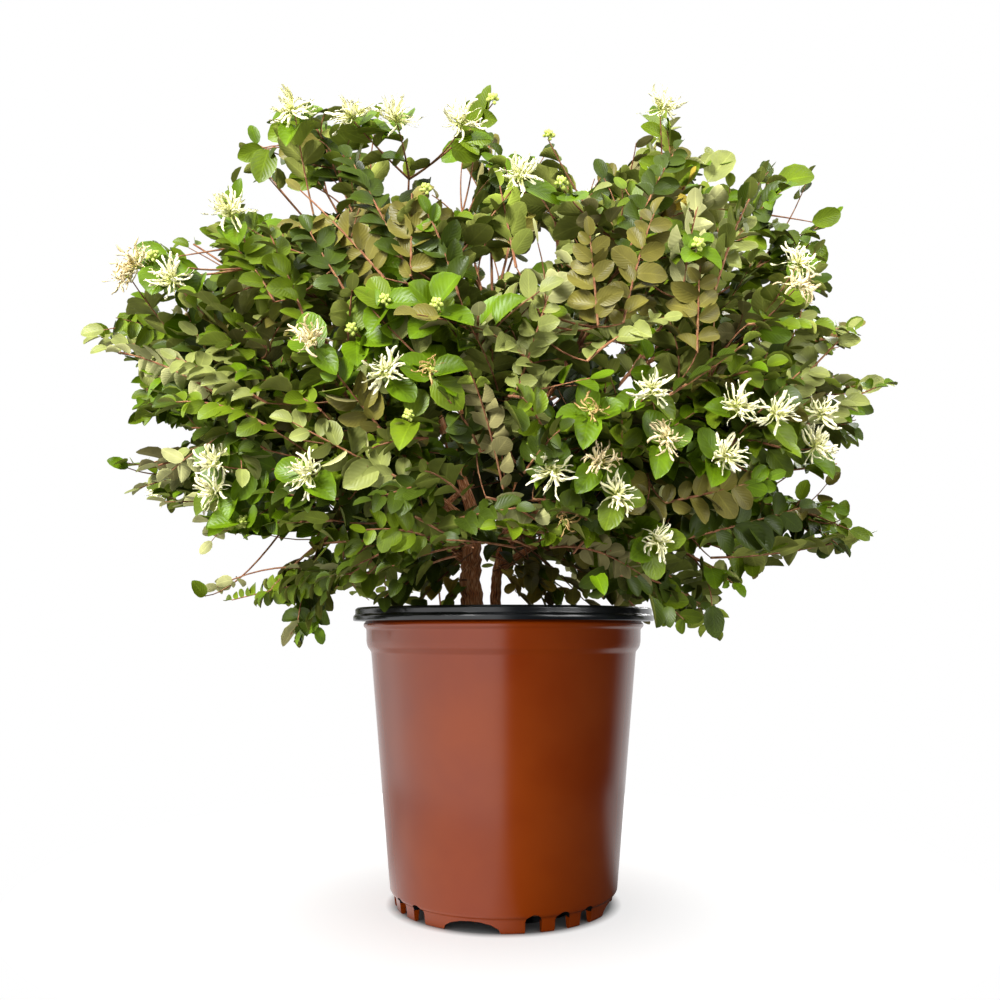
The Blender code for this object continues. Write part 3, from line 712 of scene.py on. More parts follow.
def bough_limb(mass, carrier):
    """The bough from a point on its carrier, in a low arch, to where its foliage begins."""
    start = along(carrier.points, mass.share)
    foot = HUB + mass_axis(mass) * mass.reach * FOOT_SHARE
    bend = start.lerp(foot, 0.5) + UP * (foot - start).length * BOUGH_ARCH
    radius = mass.root_radius * MM
    return Limb(mass.name, bezier(start, bend, foot, FINE), tapered(radius, radius * BOUGH_TAPER, FINE))


limbs = {
    "trunk": Limb("trunk", bezier(TRUNK_FOOT, TRUNK_BEND, TRUNK_TIP, FINE), tapered(*TRUNK_RADII, FINE)),
    "second_stem": Limb(
        "second_stem", bezier(STEM_FOOT, STEM_BEND, STEM_TIP, FINE), tapered(*STEM_RADII, FINE)
    ),
}
for mass in MASSES:
    limbs[mass.name] = bough_limb(mass, limbs[mass.carrier])
print("limbs:", len(limbs))

# %% [markdown]
# ## Bark
# Fringe flower has thin reddish-brown bark that peels in narrow strips along the wood. The shader stretches a
# noise along each limb. It knows where it is on a limb from attributes that the next step stores: the place
# round the limb, the distance along it and the limb's radius.

# %% Bark material
BARK_DRAWN_OUT = 0.14  # strips are seven times as long as wide
BARK_STRIPS, TWIG_STRIPS = 1100.0, 1800.0  # per metre, so 0.9 mm and 0.6 mm wide


def along_limb(tree, ring, run, size, stretch):
    """A place on a limb's skin in metres, drawn out lengthways, for a noise to read."""
    round_limb = node(tree, "ShaderNodeVectorMath", {0: ring, "Scale": size}, operation="SCALE")
    drawn_out = node(tree, "ShaderNodeMath", {0: run, 1: stretch}, operation="MULTIPLY")
    lengthways = node(tree, "ShaderNodeCombineXYZ", {2: drawn_out})
    return node(tree, "ShaderNodeVectorMath", {0: round_limb, 1: lengthways}).outputs[0]


def bark_material(name, dark, mid, light, strips_per_metre):
    """Peeling bark in narrow strips."""
    made, tree, shader = new_material(name, Base_Color=linear(mid), Roughness=0.86)
    ring = node(tree, "ShaderNodeAttribute", attribute_name="ring").outputs["Vector"]
    size = node(tree, "ShaderNodeAttribute", attribute_name="thickness").outputs["Fac"]
    run = node(tree, "ShaderNodeAttribute", attribute_name="run").outputs["Fac"]
    place = along_limb(tree, ring, run, size, BARK_DRAWN_OUT)
    strips = node(tree, "ShaderNodeTexNoise", {"Vector": place, "Scale": strips_per_metre, "Detail": 5})
    tone = ramp(tree, strips.outputs["Fac"], (0.32, dark), (0.5, mid), (0.68, light))
    relief = {"Height": strips.outputs["Fac"], "Strength": 0.9, "Distance": 0.0007}
    bump = node(tree, "ShaderNodeBump", relief)
    wire(shader, {"Base Color": tone, "Normal": bump})
    return made


bark = bark_material("fringe_flower_bark", "#7E4526", "#C87E4A", "#EEC092", BARK_STRIPS)
twig_bark = bark_material("young_twig_bark", "#5E3620", "#8A5636", "#B08A5E", TWIG_STRIPS)
print("barks:", bark.name, twig_bark.name)

# %% [markdown]
# ## Limbs and twigs as tubes
# A limb is a path with a radius at each point. One Geometry Nodes tree turns all the paths of a piece into
# closed tubes at once: a circle is swept along them, scaled by the radius. It then pushes the skin in and out
# by a stretched noise, which gives the relief of bark in the shape and not only in the shading.

# %% Tube tree
RELIEF_DRAWN_OUT = 0.2


def tube_tree():
    """Sweeps a ring along every path and roughens the skin lengthways."""
    floats = [("Relief", "NodeSocketFloat"), ("Strip", "NodeSocketFloat")]
    tree, given = group_tree("tubes", ("Sides", "NodeSocketInt"), *floats, ("Finish", "NodeSocketMaterial"))
    radius = node(tree, "GeometryNodeInputNamedAttribute", {"Name": "thickness"}, data_type="FLOAT")
    paths = node(tree, "GeometryNodeMeshToCurve", {"Mesh": given["Geometry"]})
    length = node(tree, "GeometryNodeSplineParameter").outputs["Length"]
    stored = {"Geometry": paths, "Name": "run", "Value": length}
    run = node(tree, "GeometryNodeStoreNamedAttribute", stored, data_type="FLOAT", domain="POINT")
    circle = node(tree, "GeometryNodeCurvePrimitiveCircle", {"Resolution": given["Sides"], "Radius": 1.0})
    where = node(tree, "GeometryNodeInputPosition")
    stored = {"Geometry": circle, "Name": "ring", "Value": where}
    ring = node(tree, "GeometryNodeStoreNamedAttribute", stored, data_type="FLOAT_VECTOR", domain="POINT")
    swept = {"Curve": run, "Profile Curve": ring, "Scale": radius, "Fill Caps": True}
    skin = node(tree, "GeometryNodeCurveToMesh", swept)
    ring_at = node(tree, "GeometryNodeInputNamedAttribute", {"Name": "ring"}, data_type="FLOAT_VECTOR")
    run_at = node(tree, "GeometryNodeInputNamedAttribute", {"Name": "run"}, data_type="FLOAT")
    place = along_limb(tree, ring_at, run_at, radius, RELIEF_DRAWN_OUT)
    noise = node(tree, "ShaderNodeTexNoise", {"Vector": place, "Scale": given["Strip"], "Detail": 3})
    centred = node(tree, "ShaderNodeMath", {0: noise.outputs["Fac"], 1: 0.5}, operation="SUBTRACT")
    amount = node(tree, "ShaderNodeMath", {0: centred, 1: given["Relief"]}, operation="MULTIPLY")
    scaled = node(tree, "ShaderNodeMath", {0: amount, 1: radius}, operation="MULTIPLY")
    outward = node(tree, "GeometryNodeInputNormal")
    push = node(tree, "ShaderNodeVectorMath", {0: outward, "Scale": scaled}, operation="SCALE")
    rough = node(tree, "GeometryNodeSetPosition", {"Geometry": skin, "Offset": push})
    smooth = node(tree, "GeometryNodeSetShadeSmooth", {"Geometry": rough})
    real = node(tree, "GeometryNodeRealizeInstances", {0: smooth})
    dressed = node(tree, "GeometryNodeSetMaterial", {"Geometry": real, "Material": given["Finish"]})
    node(tree, "NodeGroupOutput", {0: dressed})
    return tree


def path_object(name, paths):
    """A mesh of edges only, one chain for each (points, radii), with the radius stored on its points."""
    points, edges, radii = [], [], []
    for chain, sizes in paths:
        first = len(points)
        points += [tuple(point) for point in chain]
        edges += [(i, i + 1) for i in range(first, first + len(chain) - 1)]
        radii += list(sizes)
    mesh = bpy.data.meshes.new(name)
    mesh.from_pydata(points, edges, [])
    mesh.attributes.new("thickness", "FLOAT", "POINT").data.foreach_set("value", radii)
    return in_scene(name, mesh)


tubes = tube_tree()
print("the tree for tubes has", len(tubes.nodes), "nodes")

# %% [markdown]
# The trunk swells into its root flare above the soil, and a bough is thickest in the collar where it leaves
# its carrier. Slight kinks at regular distances stand for the old buds.

# %% Bark limbs
COLLAR_SWELL, SWELL_FADE = 0.45, 9
BUD_SWELL, BUD_STEP = 0.05, 6
LOOSE_BARK = 0.16  # bark that stands off the trunk
UNEVEN = 0.02
WANDER = 0.12


def shaped_radii(limb):
    """The limb's radii with flare or collar, and small swellings where buds were."""
    flare = {"trunk": TRUNK_FLARE - 1, "second_stem": STEM_FLARE - 1}.get(limb.name, COLLAR_SWELL)
    rng = random.Random(limb.name)
    made = []
    for i, radius in enumerate(limb.radii):
        share = i / (len(limb.radii) - 1)
        at_bud = i % BUD_STEP == BUD_STEP // 2
        swell = flare * math.exp(-share * SWELL_FADE) + BUD_SWELL * at_bud + rng.uniform(-UNEVEN, UNEVEN)
        swell += LOOSE_BARK * (limb.name == "trunk")
        made.append(radius * (1 + swell))
    return made


def wandering(limb):
    """The limb's path with a little unevenness, none at its ends."""
    rng = random.Random(f"{limb.name} path")
    made = []
    for i, point in enumerate(limb.points):
        share = i / (len(limb.points) - 1)
        amount = limb.radii[0] * WANDER * math.sin(math.pi * share)
        made.append(point + Vector([rng.uniform(-1, 1) * amount for _ in range(3)]))
    return made


limb_paths = [(wandering(limb), shaped_radii(limb)) for limb in limbs.values()]
limb_path = path_object("limb_bark", limb_paths)
limb_bark = grown(limb_path, tubes, Sides=20, Relief=0.36, Strip=700.0, Finish=bark)
print("limb bark:", len(limb_bark.data.polygons), "faces")

# %% [markdown]
# ## Where shoots may grow
# Each mass keeps to its own wedge of the crown, seen from the hub, and nothing grows over the rim, into a
# limb or across the bare foot of the stems. The crown is also open in places, where the sky shows through it:
# a leaf that would cover one of these openings is left out. Each row gives an opening's column, row and
# half-widths in the picture.

# %% Openings of the crown
OPENINGS = (
    (488, 272, 6, 18), (546, 248, 8, 9), (512, 264, 16, 5), (455, 410, 5, 5), (440, 437, 4, 5),
    (557, 400, 6, 4), (625, 388, 8, 4), (612, 350, 9, 4), (440, 128, 14, 40), (525, 118, 18, 26),
    (583, 150, 18, 42), (622, 132, 16, 34), (268, 196, 22, 14), (205, 196, 16, 30), (150, 205, 40, 34),
    (100, 290, 30, 26), (95, 400, 34, 42), (110, 372, 24, 16), (425, 140, 10, 22), (718, 122, 20, 20),
    (745, 165, 8, 14), (852, 262, 16, 26), (862, 290, 18, 22), (880, 345, 16, 14), (890, 430, 26, 40),
    (854, 476, 14, 10), (800, 590, 50, 26), (150, 560, 50, 40), (245, 565, 40, 12), (250, 628, 30, 20),
    (518, 580, 12, 8), (452, 588, 9, 12), (430, 600, 14, 6), (566, 590, 10, 6), (312, 201, 34, 13),
    (453, 186, 16, 24), (205, 262, 13, 14), (160, 436, 34, 9), (398, 186, 16, 9), (372, 152, 12, 5),
    (692, 132, 9, 15), (182, 524, 24, 9), (262, 546, 50, 8), (800, 216, 10, 16), (846, 366, 9, 14),
    (848, 460, 12, 10), (800, 488, 22, 10), (712, 556, 18, 8), (342, 612, 12, 22), (560, 120, 14, 20),
    (740, 138, 26, 16), (805, 144, 30, 13), (60, 350, 22, 40), (290, 665, 70, 16), (700, 655, 60, 14),
    (352, 100, 6, 6), (322, 96, 14, 12), (420, 100, 14, 10), (636, 92, 12, 16), (700, 92, 16, 22),
)
gap_rows = np.array(OPENINGS, float)
POT_MIDDLE, POT_HALF_WIDTH, POT_TOP_ROW = 500, 146, 600  # in the picture
print("openings:", len(gap_rows))

# %% Tests of room
RIM_CLEARANCE = 5 * MM
BARE_RADIUS = 60 * MM
BARE_HALF_WIDTH = 46 * MM
BARE_TOP = 0.262
limb_rows = np.array([
    (*point, radius) for limb in limbs.values() for point, radius in zip(limb.points, limb.radii)
])


def clear_of_fixed(rows, slack):
    """Whether the points stay clear of the rim, the bare foot and every limb."""
    round_pot = np.hypot(rows[:, 0], rows[:, 1])
    over_rim = (round_pot < LIP_RADIUS + RIM_CLEARANCE) & (rows[:, 2] < POT_HEIGHT + RIM_CLEARANCE)
    in_line = (round_pot < BARE_RADIUS) | (abs(rows[:, 0]) < BARE_HALF_WIDTH)
    bare = in_line & (rows[:, 2] < BARE_TOP)
    if (over_rim | bare).any():
        return False
    apart = np.linalg.norm(rows[:, None] - limb_rows[None, :, :3], axis=2)
    return bool((apart - limb_rows[None, :, 3]).min() > slack)


def shows_sky(rows):
    """Whether any of the points would cover an opening of the crown, or hang in front of the pot."""
    seen = in_picture(rows)
    over_pot = (abs(seen[:, 0] - POT_MIDDLE) < POT_HALF_WIDTH) & (seen[:, 1] > POT_TOP_ROW)
    if (over_pot & (rows[:, 1] < 0)).any():
        return True
    away = (seen[:, None, :2] - gap_rows[None, :, :2]) / gap_rows[None, :, 2:]
    return bool((np.square(away).sum(axis=2) < 1).any())


class Space:
    """Where one mass may grow."""

    def __init__(self, mass):
        own = mass_axis(mass)
        ways = [own - mass_axis(other) for other in MASSES if other.name != mass.name]
        self.mass = mass
        self.planes = np.array([way.normalized() for way in ways])

    def edge_angle(self, axis, spin):
        """Angle from the mass's axis to the edge of its wedge, turning towards spin."""
        facing, turning = self.planes @ np.array(axis), self.planes @ np.array(spin)
        edges = [math.atan2(a, -b) for a, b in zip(facing, turning) if b < 0]
        return min([*edges, math.radians(WIDEST_SPREAD) / LEADER_SPREAD])

    def holds(self, points, margin):
        """Whether all the points lie in the wedge, this far inside its edge, and clear of what is fixed."""
        rows = rows_of(points)
        if ((rows - np.array(HUB)) @ self.planes.T).min() < margin:
            return False
        return clear_of_fixed(rows, MM)


spaces = {mass.name: Space(mass) for mass in MASSES}
print("spaces:", len(spaces), "limb points:", len(limb_rows))

# %% [markdown]
# ## Leaders
# Five leading shoots fan out of each mass's short stem. They follow the source's rule with the source's seed,
# so they lie where the twigs of the solid masses lie.

# %% Leaders
NODE_GAP = 0.3 * MM
LEADER_POINTS = 13
SHOOT_END = 1.6 * MM
CUTS = (1, 0.85, 0.7, 0.55)
WEDGE_MARGIN = 0.0006
Leader = namedtuple("Leader", "mass index points")
leaders, twigs = [], []


def add_twig(points, thick, thin):
    """Adds a twig that tapers between these radii in millimetres."""
    twigs.append((points, tapered(thick * MM, thin * MM, len(points))))


def leader_paths(mass, space, rng):
    """The mass's stem and its leaders, as smooth paths."""
    axis, limb = mass_axis(mass), limbs[mass.name]
    onward = (limb.points[-1] - limb.points[-6]).normalized()
    root = limb.points[-1] + onward * NODE_GAP
    fork = root + (onward + axis).normalized() * MASS_STEM
    phase = rng.uniform(0, math.tau)
    made = []
    for k in range(LEADERS):
        way, reach, start = axis, mass.reach, fork
        if k:
            turn = Matrix.Rotation(phase + math.tau * (k - 1) / (LEADERS - 1), 3, axis)
            spin = turn @ axis.orthogonal().normalized()
            spread = LEADER_SPREAD * space.edge_angle(axis, spin)
            way = axis * math.cos(spread) + spin * math.sin(spread)
            reach = mass.reach * rng.uniform(SHORTEST_REACH, 1)
            first, last = LEADER_STARTS
            start = root.lerp(fork, first + (last - first) * k / LEADERS)
        tip = HUB + way * reach
        arch = (tip - start).length * LEADER_ARCH * math.cos(math.radians(mass.rise))
        made.append(bezier(start, start.lerp(tip, 0.5) + UP * arch, tip, LEADER_POINTS))
    return [root, fork], made


def kept_length(points, space):
    """The leader, cut back to where it keeps to its space and its tip covers no opening, or None."""
    for share in CUTS:
        cut = [along(points, share * i / (len(points) - 1)) for i in range(len(points))]
        if space.holds(cut[2:], WEDGE_MARGIN) and not shows_sky(rows_of(cut[-2:])):
            return cut
    return None


for mass in MASSES:
    stem, paths = leader_paths(mass, spaces[mass.name], random.Random(f"fringe flower {mass.name}"))
    stem_foot = limbs[mass.name].points[-2]
    twigs.append(([stem_foot, *stem], [mass.root_radius * MM * BOUGH_TAPER] * 2 + [SHOOT_END]))
    for index, path in enumerate(paths):
        kept = kept_length(path, spaces[mass.name])
        if kept:
            leaders.append(Leader(mass, index, kept))
            add_twig(kept, 1.45, 0.75)
print("leaders:", len(leaders))

# %% [markdown]
# ## Leaf shapes
# A leaf is oval, about 20 mm long, blunt at the tip and folded a little along its midrib. Six variants differ
# in how much they fold, arch and twist. Each is a closed, thin blade of a few dozen faces, with the underside
# marked by an attribute, because that side is paler. The blade's map runs along and across it, for the midrib
# and veins.

# %% Leaf shapes
LEAF_THICKNESS, STALK = 0.012, 0.07  # half the thickness and the stalk, as shares of the length
LEAF_STATIONS = ((0.0, 0.03), (0.08, 0.26), (0.27, 0.45), (0.54, 0.50), (0.80, 0.38), (0.95, 0.17))
LEAF_VARIANTS = (  # fold, arch and twist
    (0.32, 0.12, 0.08), (0.55, 0.22, -0.14), (0.20, 0.32, 0.22),
    (0.42, 0.04, -0.04), (0.10, -0.10, 0.12), (0.65, 0.14, 0.0),
)


def leaf_shape(name, fold, arch, twist):
    """A leaf of length 1 and width 1 along +X, with its upper face up."""
    bm = bmesh.new()
    under = bm.faces.layers.bool.new("underside")
    uv = bm.loops.layers.uv.new("blade")

    def vert(x, y, side):
        height = abs(y) * fold - arch * x * x + y * x * twist
        return bm.verts.new((x, y, height + side * LEAF_THICKNESS))

    base, tip = vert(-STALK, 0, 0), vert(1.0, 0, 0)
    rims = [[vert(x, half * sign, 0) for x, half in LEAF_STATIONS] for sign in (1, -1)]
    across = {corner: sign for rim, sign in zip(rims, (0.5, -0.5)) for corner in rim}
    for side in (1, -1):
        ribs = [vert(x, 0, side) for x, _ in LEAF_STATIONS]
        for rim, sign in zip(rims, (1, -1)):
            faces = [(base, ribs[0], rim[0])]
            faces += [(ribs[i], ribs[i + 1], rim[i + 1], rim[i]) for i in range(len(ribs) - 1)]
            faces.append((ribs[-1], tip, rim[-1]))
            for corners in faces:
                face = bm.faces.new(corners if side * sign > 0 else tuple(reversed(corners)))
                face[under] = side < 0
                face.smooth = True
    for face in bm.faces:
        for loop in face.loops:
            loop[uv].uv = (loop.vert.co.x, 0.5 + across.get(loop.vert, 0))
    for edge in bm.edges:
        sides = {face[under] for face in edge.link_faces}
        edge.smooth = len(sides) == 1
    mesh = bpy.data.meshes.new(name)
    bm.to_mesh(mesh)
    bm.free()
    return bpy.data.objects.new(name, mesh)


leaf_group = bpy.data.collections.new("leaf_shapes")
for k, variant in enumerate(LEAF_VARIANTS):
    leaf_group.objects.link(leaf_shape(f"leaf_{k}", *variant))

# %% [markdown]
# ## Sprays of leaves
# A shoot carries its leaves in two ranks, left and right in turn, as a flat spray. The first function sets
# the leaves of one shoot and leaves out those that have no room. Tints are dealt out by shoot: young shoots
# are lime, those in the middle of the crown dark, as painted shade, and the season's older ones bronze or
# sage.

# %% One leaf
Leaf = namedtuple("Leaf", "root frame length width tint variant")
leaves = []
kept_in_view = []  # column, row, distance and radius of each blossom or spray that the picture shows
IN_FRONT = 0.004
LEAF_SLACK = 0.3 * MM


def frame_of(length, normal):
    """The matrix whose columns are a leaf's length, width and normal."""
    normal = (normal - length * normal.dot(length)).normalized()
    return Matrix((length, normal.cross(length), normal)).transposed()


def leaf_samples(root, frame, length, width):
    """A few points of the blade, for the tests of its room."""
    places = ((0.3, 0.4), (0.3, -0.4), (0.65, 0.4), (0.65, -0.4), (1, 0), (0.5, 0))
    return rows_of([root + frame.col[0] * length * x + frame.col[1] * width * y for x, y in places])


def hides_front(rows):
    """Whether the points hang in front of a blossom or spray that the picture shows."""
    if not kept_in_view:
        return False
    seen, spots = in_picture(rows), np.array(kept_in_view)
    away = np.hypot(seen[:, None, 0] - spots[None, :, 0], seen[:, None, 1] - spots[None, :, 1])
    return bool(((away < spots[None, :, 3]) & (seen[:, None, 2] < spots[None, :, 2] + IN_FRONT)).any())


def add_leaf(root, way, normal, length, ratio, tint, rng):
    """Adds a leaf if it has room, and says whether it had."""
    blade = frame_of(way.normalized(), normal)
    rows = leaf_samples(root, blade, length, length * ratio)
    if not clear_of_fixed(rows, LEAF_SLACK) or shows_sky(rows) or hides_front(rows):
        return False
    leaves.append(Leaf(root, blade, length, length * ratio, tint, rng.randrange(len(LEAF_VARIANTS))))
    return True


print("helpers: frame_of, leaf_samples, hides_front, add_leaf")

# %% Sprays
LEAF_LENGTH = 20.5 * MM
LEAF_PITCH = 6.0 * MM
LEAF_LEAN = (36, 72)  # degrees between a leaf and its shoot
LEAF_ROLL = 26
LEAF_RATIO = (0.60, 0.74)  # width over length
LEAF_SIZES = (0.76, 1.16)
YOUNG_TIPS = 0.18  # share of the shoots that end in younger leaves
LAST_SHARE = 0.97  # where the last leaf or side shoot of a path may sit
SPRAY_TILT = (-0.25, 1.3)
NEAR_SIDE = 0.04


def rank_side(way, turn):
    """A level direction square to a shoot, then turned about the shoot."""
    level = way.cross(UP)
    if level.length < 0.2:
        level = Vector((1, 0, 0))
    return Matrix.Rotation(turn, 3, way) @ level.normalized()


def spray_normal(place, way, tilt):
    """The upward normal of a spray, tilted by this much towards the nearer side, front or back."""
    outside = Vector((0, -1 if place.y < NEAR_SIDE else 1, 0))
    normal = UP * (1 - 0.5 * abs(tilt)) + outside * tilt
    return (normal - way * normal.dot(way)).normalized()


def spray(points, tint, rng, first=0.1, turn=0.0, size=1.0, pitch=LEAF_PITCH):
    """Leaves in two ranks along a shoot and one at its tip. Returns the number of leaves that had room."""
    ways = tangents(points)
    tip_tint = "young" if rng.random() < YOUNG_TIPS else tint
    count = max(2, round(length_of(points) * (1 - first) / (pitch * size)))
    tilt = rng.uniform(*SPRAY_TILT)
    added = 0
    for i in range(count):
        share = first + (LAST_SHARE - first) * (i + rng.uniform(-0.35, 0.35)) / count
        root, way = along(points, min(1, max(0, share))), along(ways, min(1, max(0, share))).normalized()
        normal = Matrix.Rotation(turn, 3, way) @ spray_normal(root, way, tilt)
        outward = way.cross(normal) * (1 if i % 2 else -1)
        lean = math.radians(rng.uniform(*LEAF_LEAN))
        direction = way * math.cos(lean) + outward * math.sin(lean) + UP * rng.uniform(-0.26, 0.18)
        facing = normal + (root - HUB).normalized() * rng.uniform(0, 0.5)
        roll = Matrix.Rotation(math.radians(rng.gauss(0, LEAF_ROLL)), 3, direction.normalized())
        swell = 0.72 + 0.38 * math.sin(math.pi * min(1, share + 0.1))  # largest halfway along the shoot
        own_length = LEAF_LENGTH * size * swell * rng.uniform(*LEAF_SIZES)
        own = tip_tint if i > count - 4 else tint
        added += add_leaf(root, direction, roll @ facing, own_length, rng.uniform(*LEAF_RATIO), own, rng)
    tip_way = (ways[-1] + UP * rng.uniform(-0.2, 0.2)).normalized()
    facing = spray_normal(points[-1], ways[-1], tilt)
    return added + add_leaf(points[-1], tip_way, facing, LEAF_LENGTH * size * 0.72, 0.62, tip_tint, rng)


print("leaves about", LEAF_LENGTH / MM, "mm long, one every", LEAF_PITCH / MM, "mm of a shoot")

# %% [markdown]
# ## Shoots that the picture shows
# The outline of the crown is made by single shoots that stand out of it. Each row gives the place of a
# shoot's tip in the picture, its depth, its length and its tint. The shoot grows from the nearest leader that
# it could really leave, so it is carried as well from every other side.

# %% Shoots of the outline
OUTLINE_SHOOTS = (
    (80, 329, -0.03, 0.090, "sage"), (100, 345, -0.05, 0.070, "sage"), (183, 243, -0.03, 0.065, "mid"),
    (246, 150, -0.04, 0.060, "mid"), (262, 142, -0.05, 0.050, "dark"), (282, 140, -0.03, 0.045, "mid"),
    (262, 166, 0.01, 0.070, "dark"), (301, 176, -0.05, 0.050, "mid"), (146, 404, -0.06, 0.055, "dark"),
    (118, 462, -0.07, 0.070, "young"), (131, 488, -0.05, 0.070, "sage"), (156, 502, -0.09, 0.060, "sage"),
    (722, 158, -0.06, 0.060, "dark"), (290, 640, -0.08, 0.085, "dark"), (312, 632, -0.06, 0.065, "mid"),
    (212, 536, -0.10, 0.050, "young"), (424, 184, -0.04, 0.050, "bronze"), (600, 163, -0.03, 0.055, "dark"),
    (614, 172, 0.0, 0.050, "bronze"), (640, 128, -0.03, 0.050, "bronze"), (690, 118, -0.04, 0.055, "bronze"),
    (724, 150, -0.05, 0.055, "sage"), (752, 176, 0.0, 0.055, "dark"), (774, 172, -0.03, 0.070, "mid"),
    (812, 176, -0.03, 0.080, "dark"), (836, 214, -0.04, 0.070, "young"), (822, 246, -0.06, 0.050, "mid"),
    (806, 232, -0.01, 0.060, "mid"), (858, 324, -0.03, 0.080, "bronze"), (846, 344, -0.06, 0.070, "mid"),
    (884, 382, -0.03, 0.075, "sage"), (868, 404, -0.06, 0.065, "dark"), (848, 432, -0.04, 0.060, "dark"),
    (840, 508, -0.07, 0.070, "young"), (806, 498, -0.09, 0.050, "mid"), (864, 533, -0.04, 0.085, "mid"),
    (846, 546, -0.06, 0.060, "dark"), (772, 566, -0.08, 0.050, "mid"), (741, 586, -0.10, 0.050, "mid"),
    (703, 634, -0.10, 0.080, "mid"), (686, 612, -0.06, 0.060, "dark"), (355, 128, -0.03, 0.050, "mid"),
    (376, 112, -0.01, 0.050, "mid"), (320, 128, 0.0, 0.055, "dark"), (462, 152, -0.03, 0.045, "young"),
    (500, 150, -0.03, 0.050, "dark"), (566, 172, -0.01, 0.050, "dark"), (140, 300, -0.05, 0.050, "young"),
    (126, 318, -0.02, 0.060, "mid"), (545, 150, -0.02, 0.045, "dark"),
)

print("shoots of the outline:", len(OUTLINE_SHOOTS))

# %% Shoots that reach a given place
SHOOT_POINTS = 9
BARE_START = 3  # points of a leader that carry no such shoot
TURN_COST = 0.05  # metres of detour that a full change of direction is worth
leader_table = []
for leader in leaders:
    pairs = list(zip(leader.points, tangents(leader.points)))
    leader_table += [(*point, *way) for point, way in pairs[BARE_START:]]
leader_rows = np.array(leader_table)


def carrier_of(tip, length):
    """The point and direction on a leader from which a shoot of about this length would reach the tip."""
    apart = np.array(tip) - leader_rows[:, :3]
    far = np.linalg.norm(apart, axis=1)
    turn = 1 - (apart * leader_rows[:, 3:]).sum(axis=1) / np.maximum(far, 1e-6)
    best = int(np.argmin(abs(far - length) + TURN_COST * turn))
    return Vector(leader_rows[best, :3]), Vector(leader_rows[best, 3:])


def shoot_to(tip, length, end_way=None):
    """A shoot that leaves a leader smoothly and ends at the tip."""
    start, way = carrier_of(tip, length)
    span = (tip - start).length
    bend = start + (way + (tip - start).normalized()).normalized() * span * 0.5
    if end_way is not None:
        bend = bend.lerp(tip - end_way * span * 0.5, 0.5)
    points = bezier(start, bend, tip, SHOOT_POINTS)
    add_twig(points, 0.85, 0.4)
    return points


TIP_ROOM = 6 * MM  # for the leaf at a shoot's tip
outline_rng = random.Random("outline shoots")
for u, v, depth, length, tint in OUTLINE_SHOOTS:
    edge = seen_at(u, v, depth)
    path = shoot_to(edge + (HUB - edge).normalized() * TIP_ROOM, length)
    spray(path, tint, outline_rng, 0.15, outline_rng.uniform(-0.5, 0.5), 0.92, LEAF_PITCH * 1.25)
print("leaves so far:", len(leaves))

# %% [markdown]
# Some leaves stand out of the outline one by one and face the viewer. Each row gives where such a leaf's
# stalk and tip show, its depth and its tint.

# %% Single leaves of the outline
SINGLE_LEAVES = (
    (708, 182, 732, 150, -0.06, "sage"), (812, 222, 842, 213, -0.05, "mid"),
    (777, 183, 815, 173, -0.04, "mid"), (768, 180, 764, 162, -0.04, "dark"),
    (812, 242, 826, 262, -0.05, "mid"), (262, 148, 238, 158, -0.05, "mid"),
    (268, 150, 259, 181, -0.05, "mid"), (257, 144, 251, 126, -0.05, "young"),
    (318, 140, 279, 155, -0.07, "bronze"), (304, 122, 268, 138, -0.06, "mid"),
    (318, 172, 288, 186, -0.05, "mid"), (470, 144, 442, 160, -0.05, "young"),
    (168, 258, 132, 248, -0.07, "young"), (104, 330, 80, 333, -0.04, "sage"),
    (858, 392, 885, 378, -0.04, "sage"), (846, 330, 860, 320, -0.04, "mid"),
    (852, 404, 874, 412, -0.05, "dark"), (840, 520, 846, 500, -0.06, "mid"),
    (850, 530, 868, 538, -0.06, "mid"), (712, 606, 716, 638, -0.10, "dark"),
    (800, 500, 806, 482, -0.08, "mid"), (128, 468, 114, 462, -0.07, "young"),
    (205, 596, 200, 590, -0.05, "mid"), (604, 178, 596, 158, -0.04, "dark"),
)
SINGLE_STALK, SHORTEST_SINGLE = 45 * MM, 16 * MM
for u, v, tip_u, tip_v, depth, tint in SINGLE_LEAVES:
    root, tip = seen_at(u, v, depth), seen_at(tip_u, tip_v, depth - 4 * MM)
    shoot_to(root, SINGLE_STALK, (tip - root).normalized())
    blade = frame_of((tip - root).normalized(), (EYE - root).normalized() + UP * outline_rng.uniform(0, 0.7))
    length = max((tip - root).length, SHORTEST_SINGLE)
    leaves.append(Leaf(root, blade, length, length * outline_rng.uniform(0.60, 0.72), tint, 0))
print("single leaves:", len(SINGLE_LEAVES))

# %% [markdown]
# Across the front the eye meets some sixty whole sprays, most of them seen from beneath, with their stems
# running through like the spine of a feather. Each row gives where such a spray starts and ends in the
# picture, its tint and the size of its leaves. Its depth follows the rounded front of the crown.

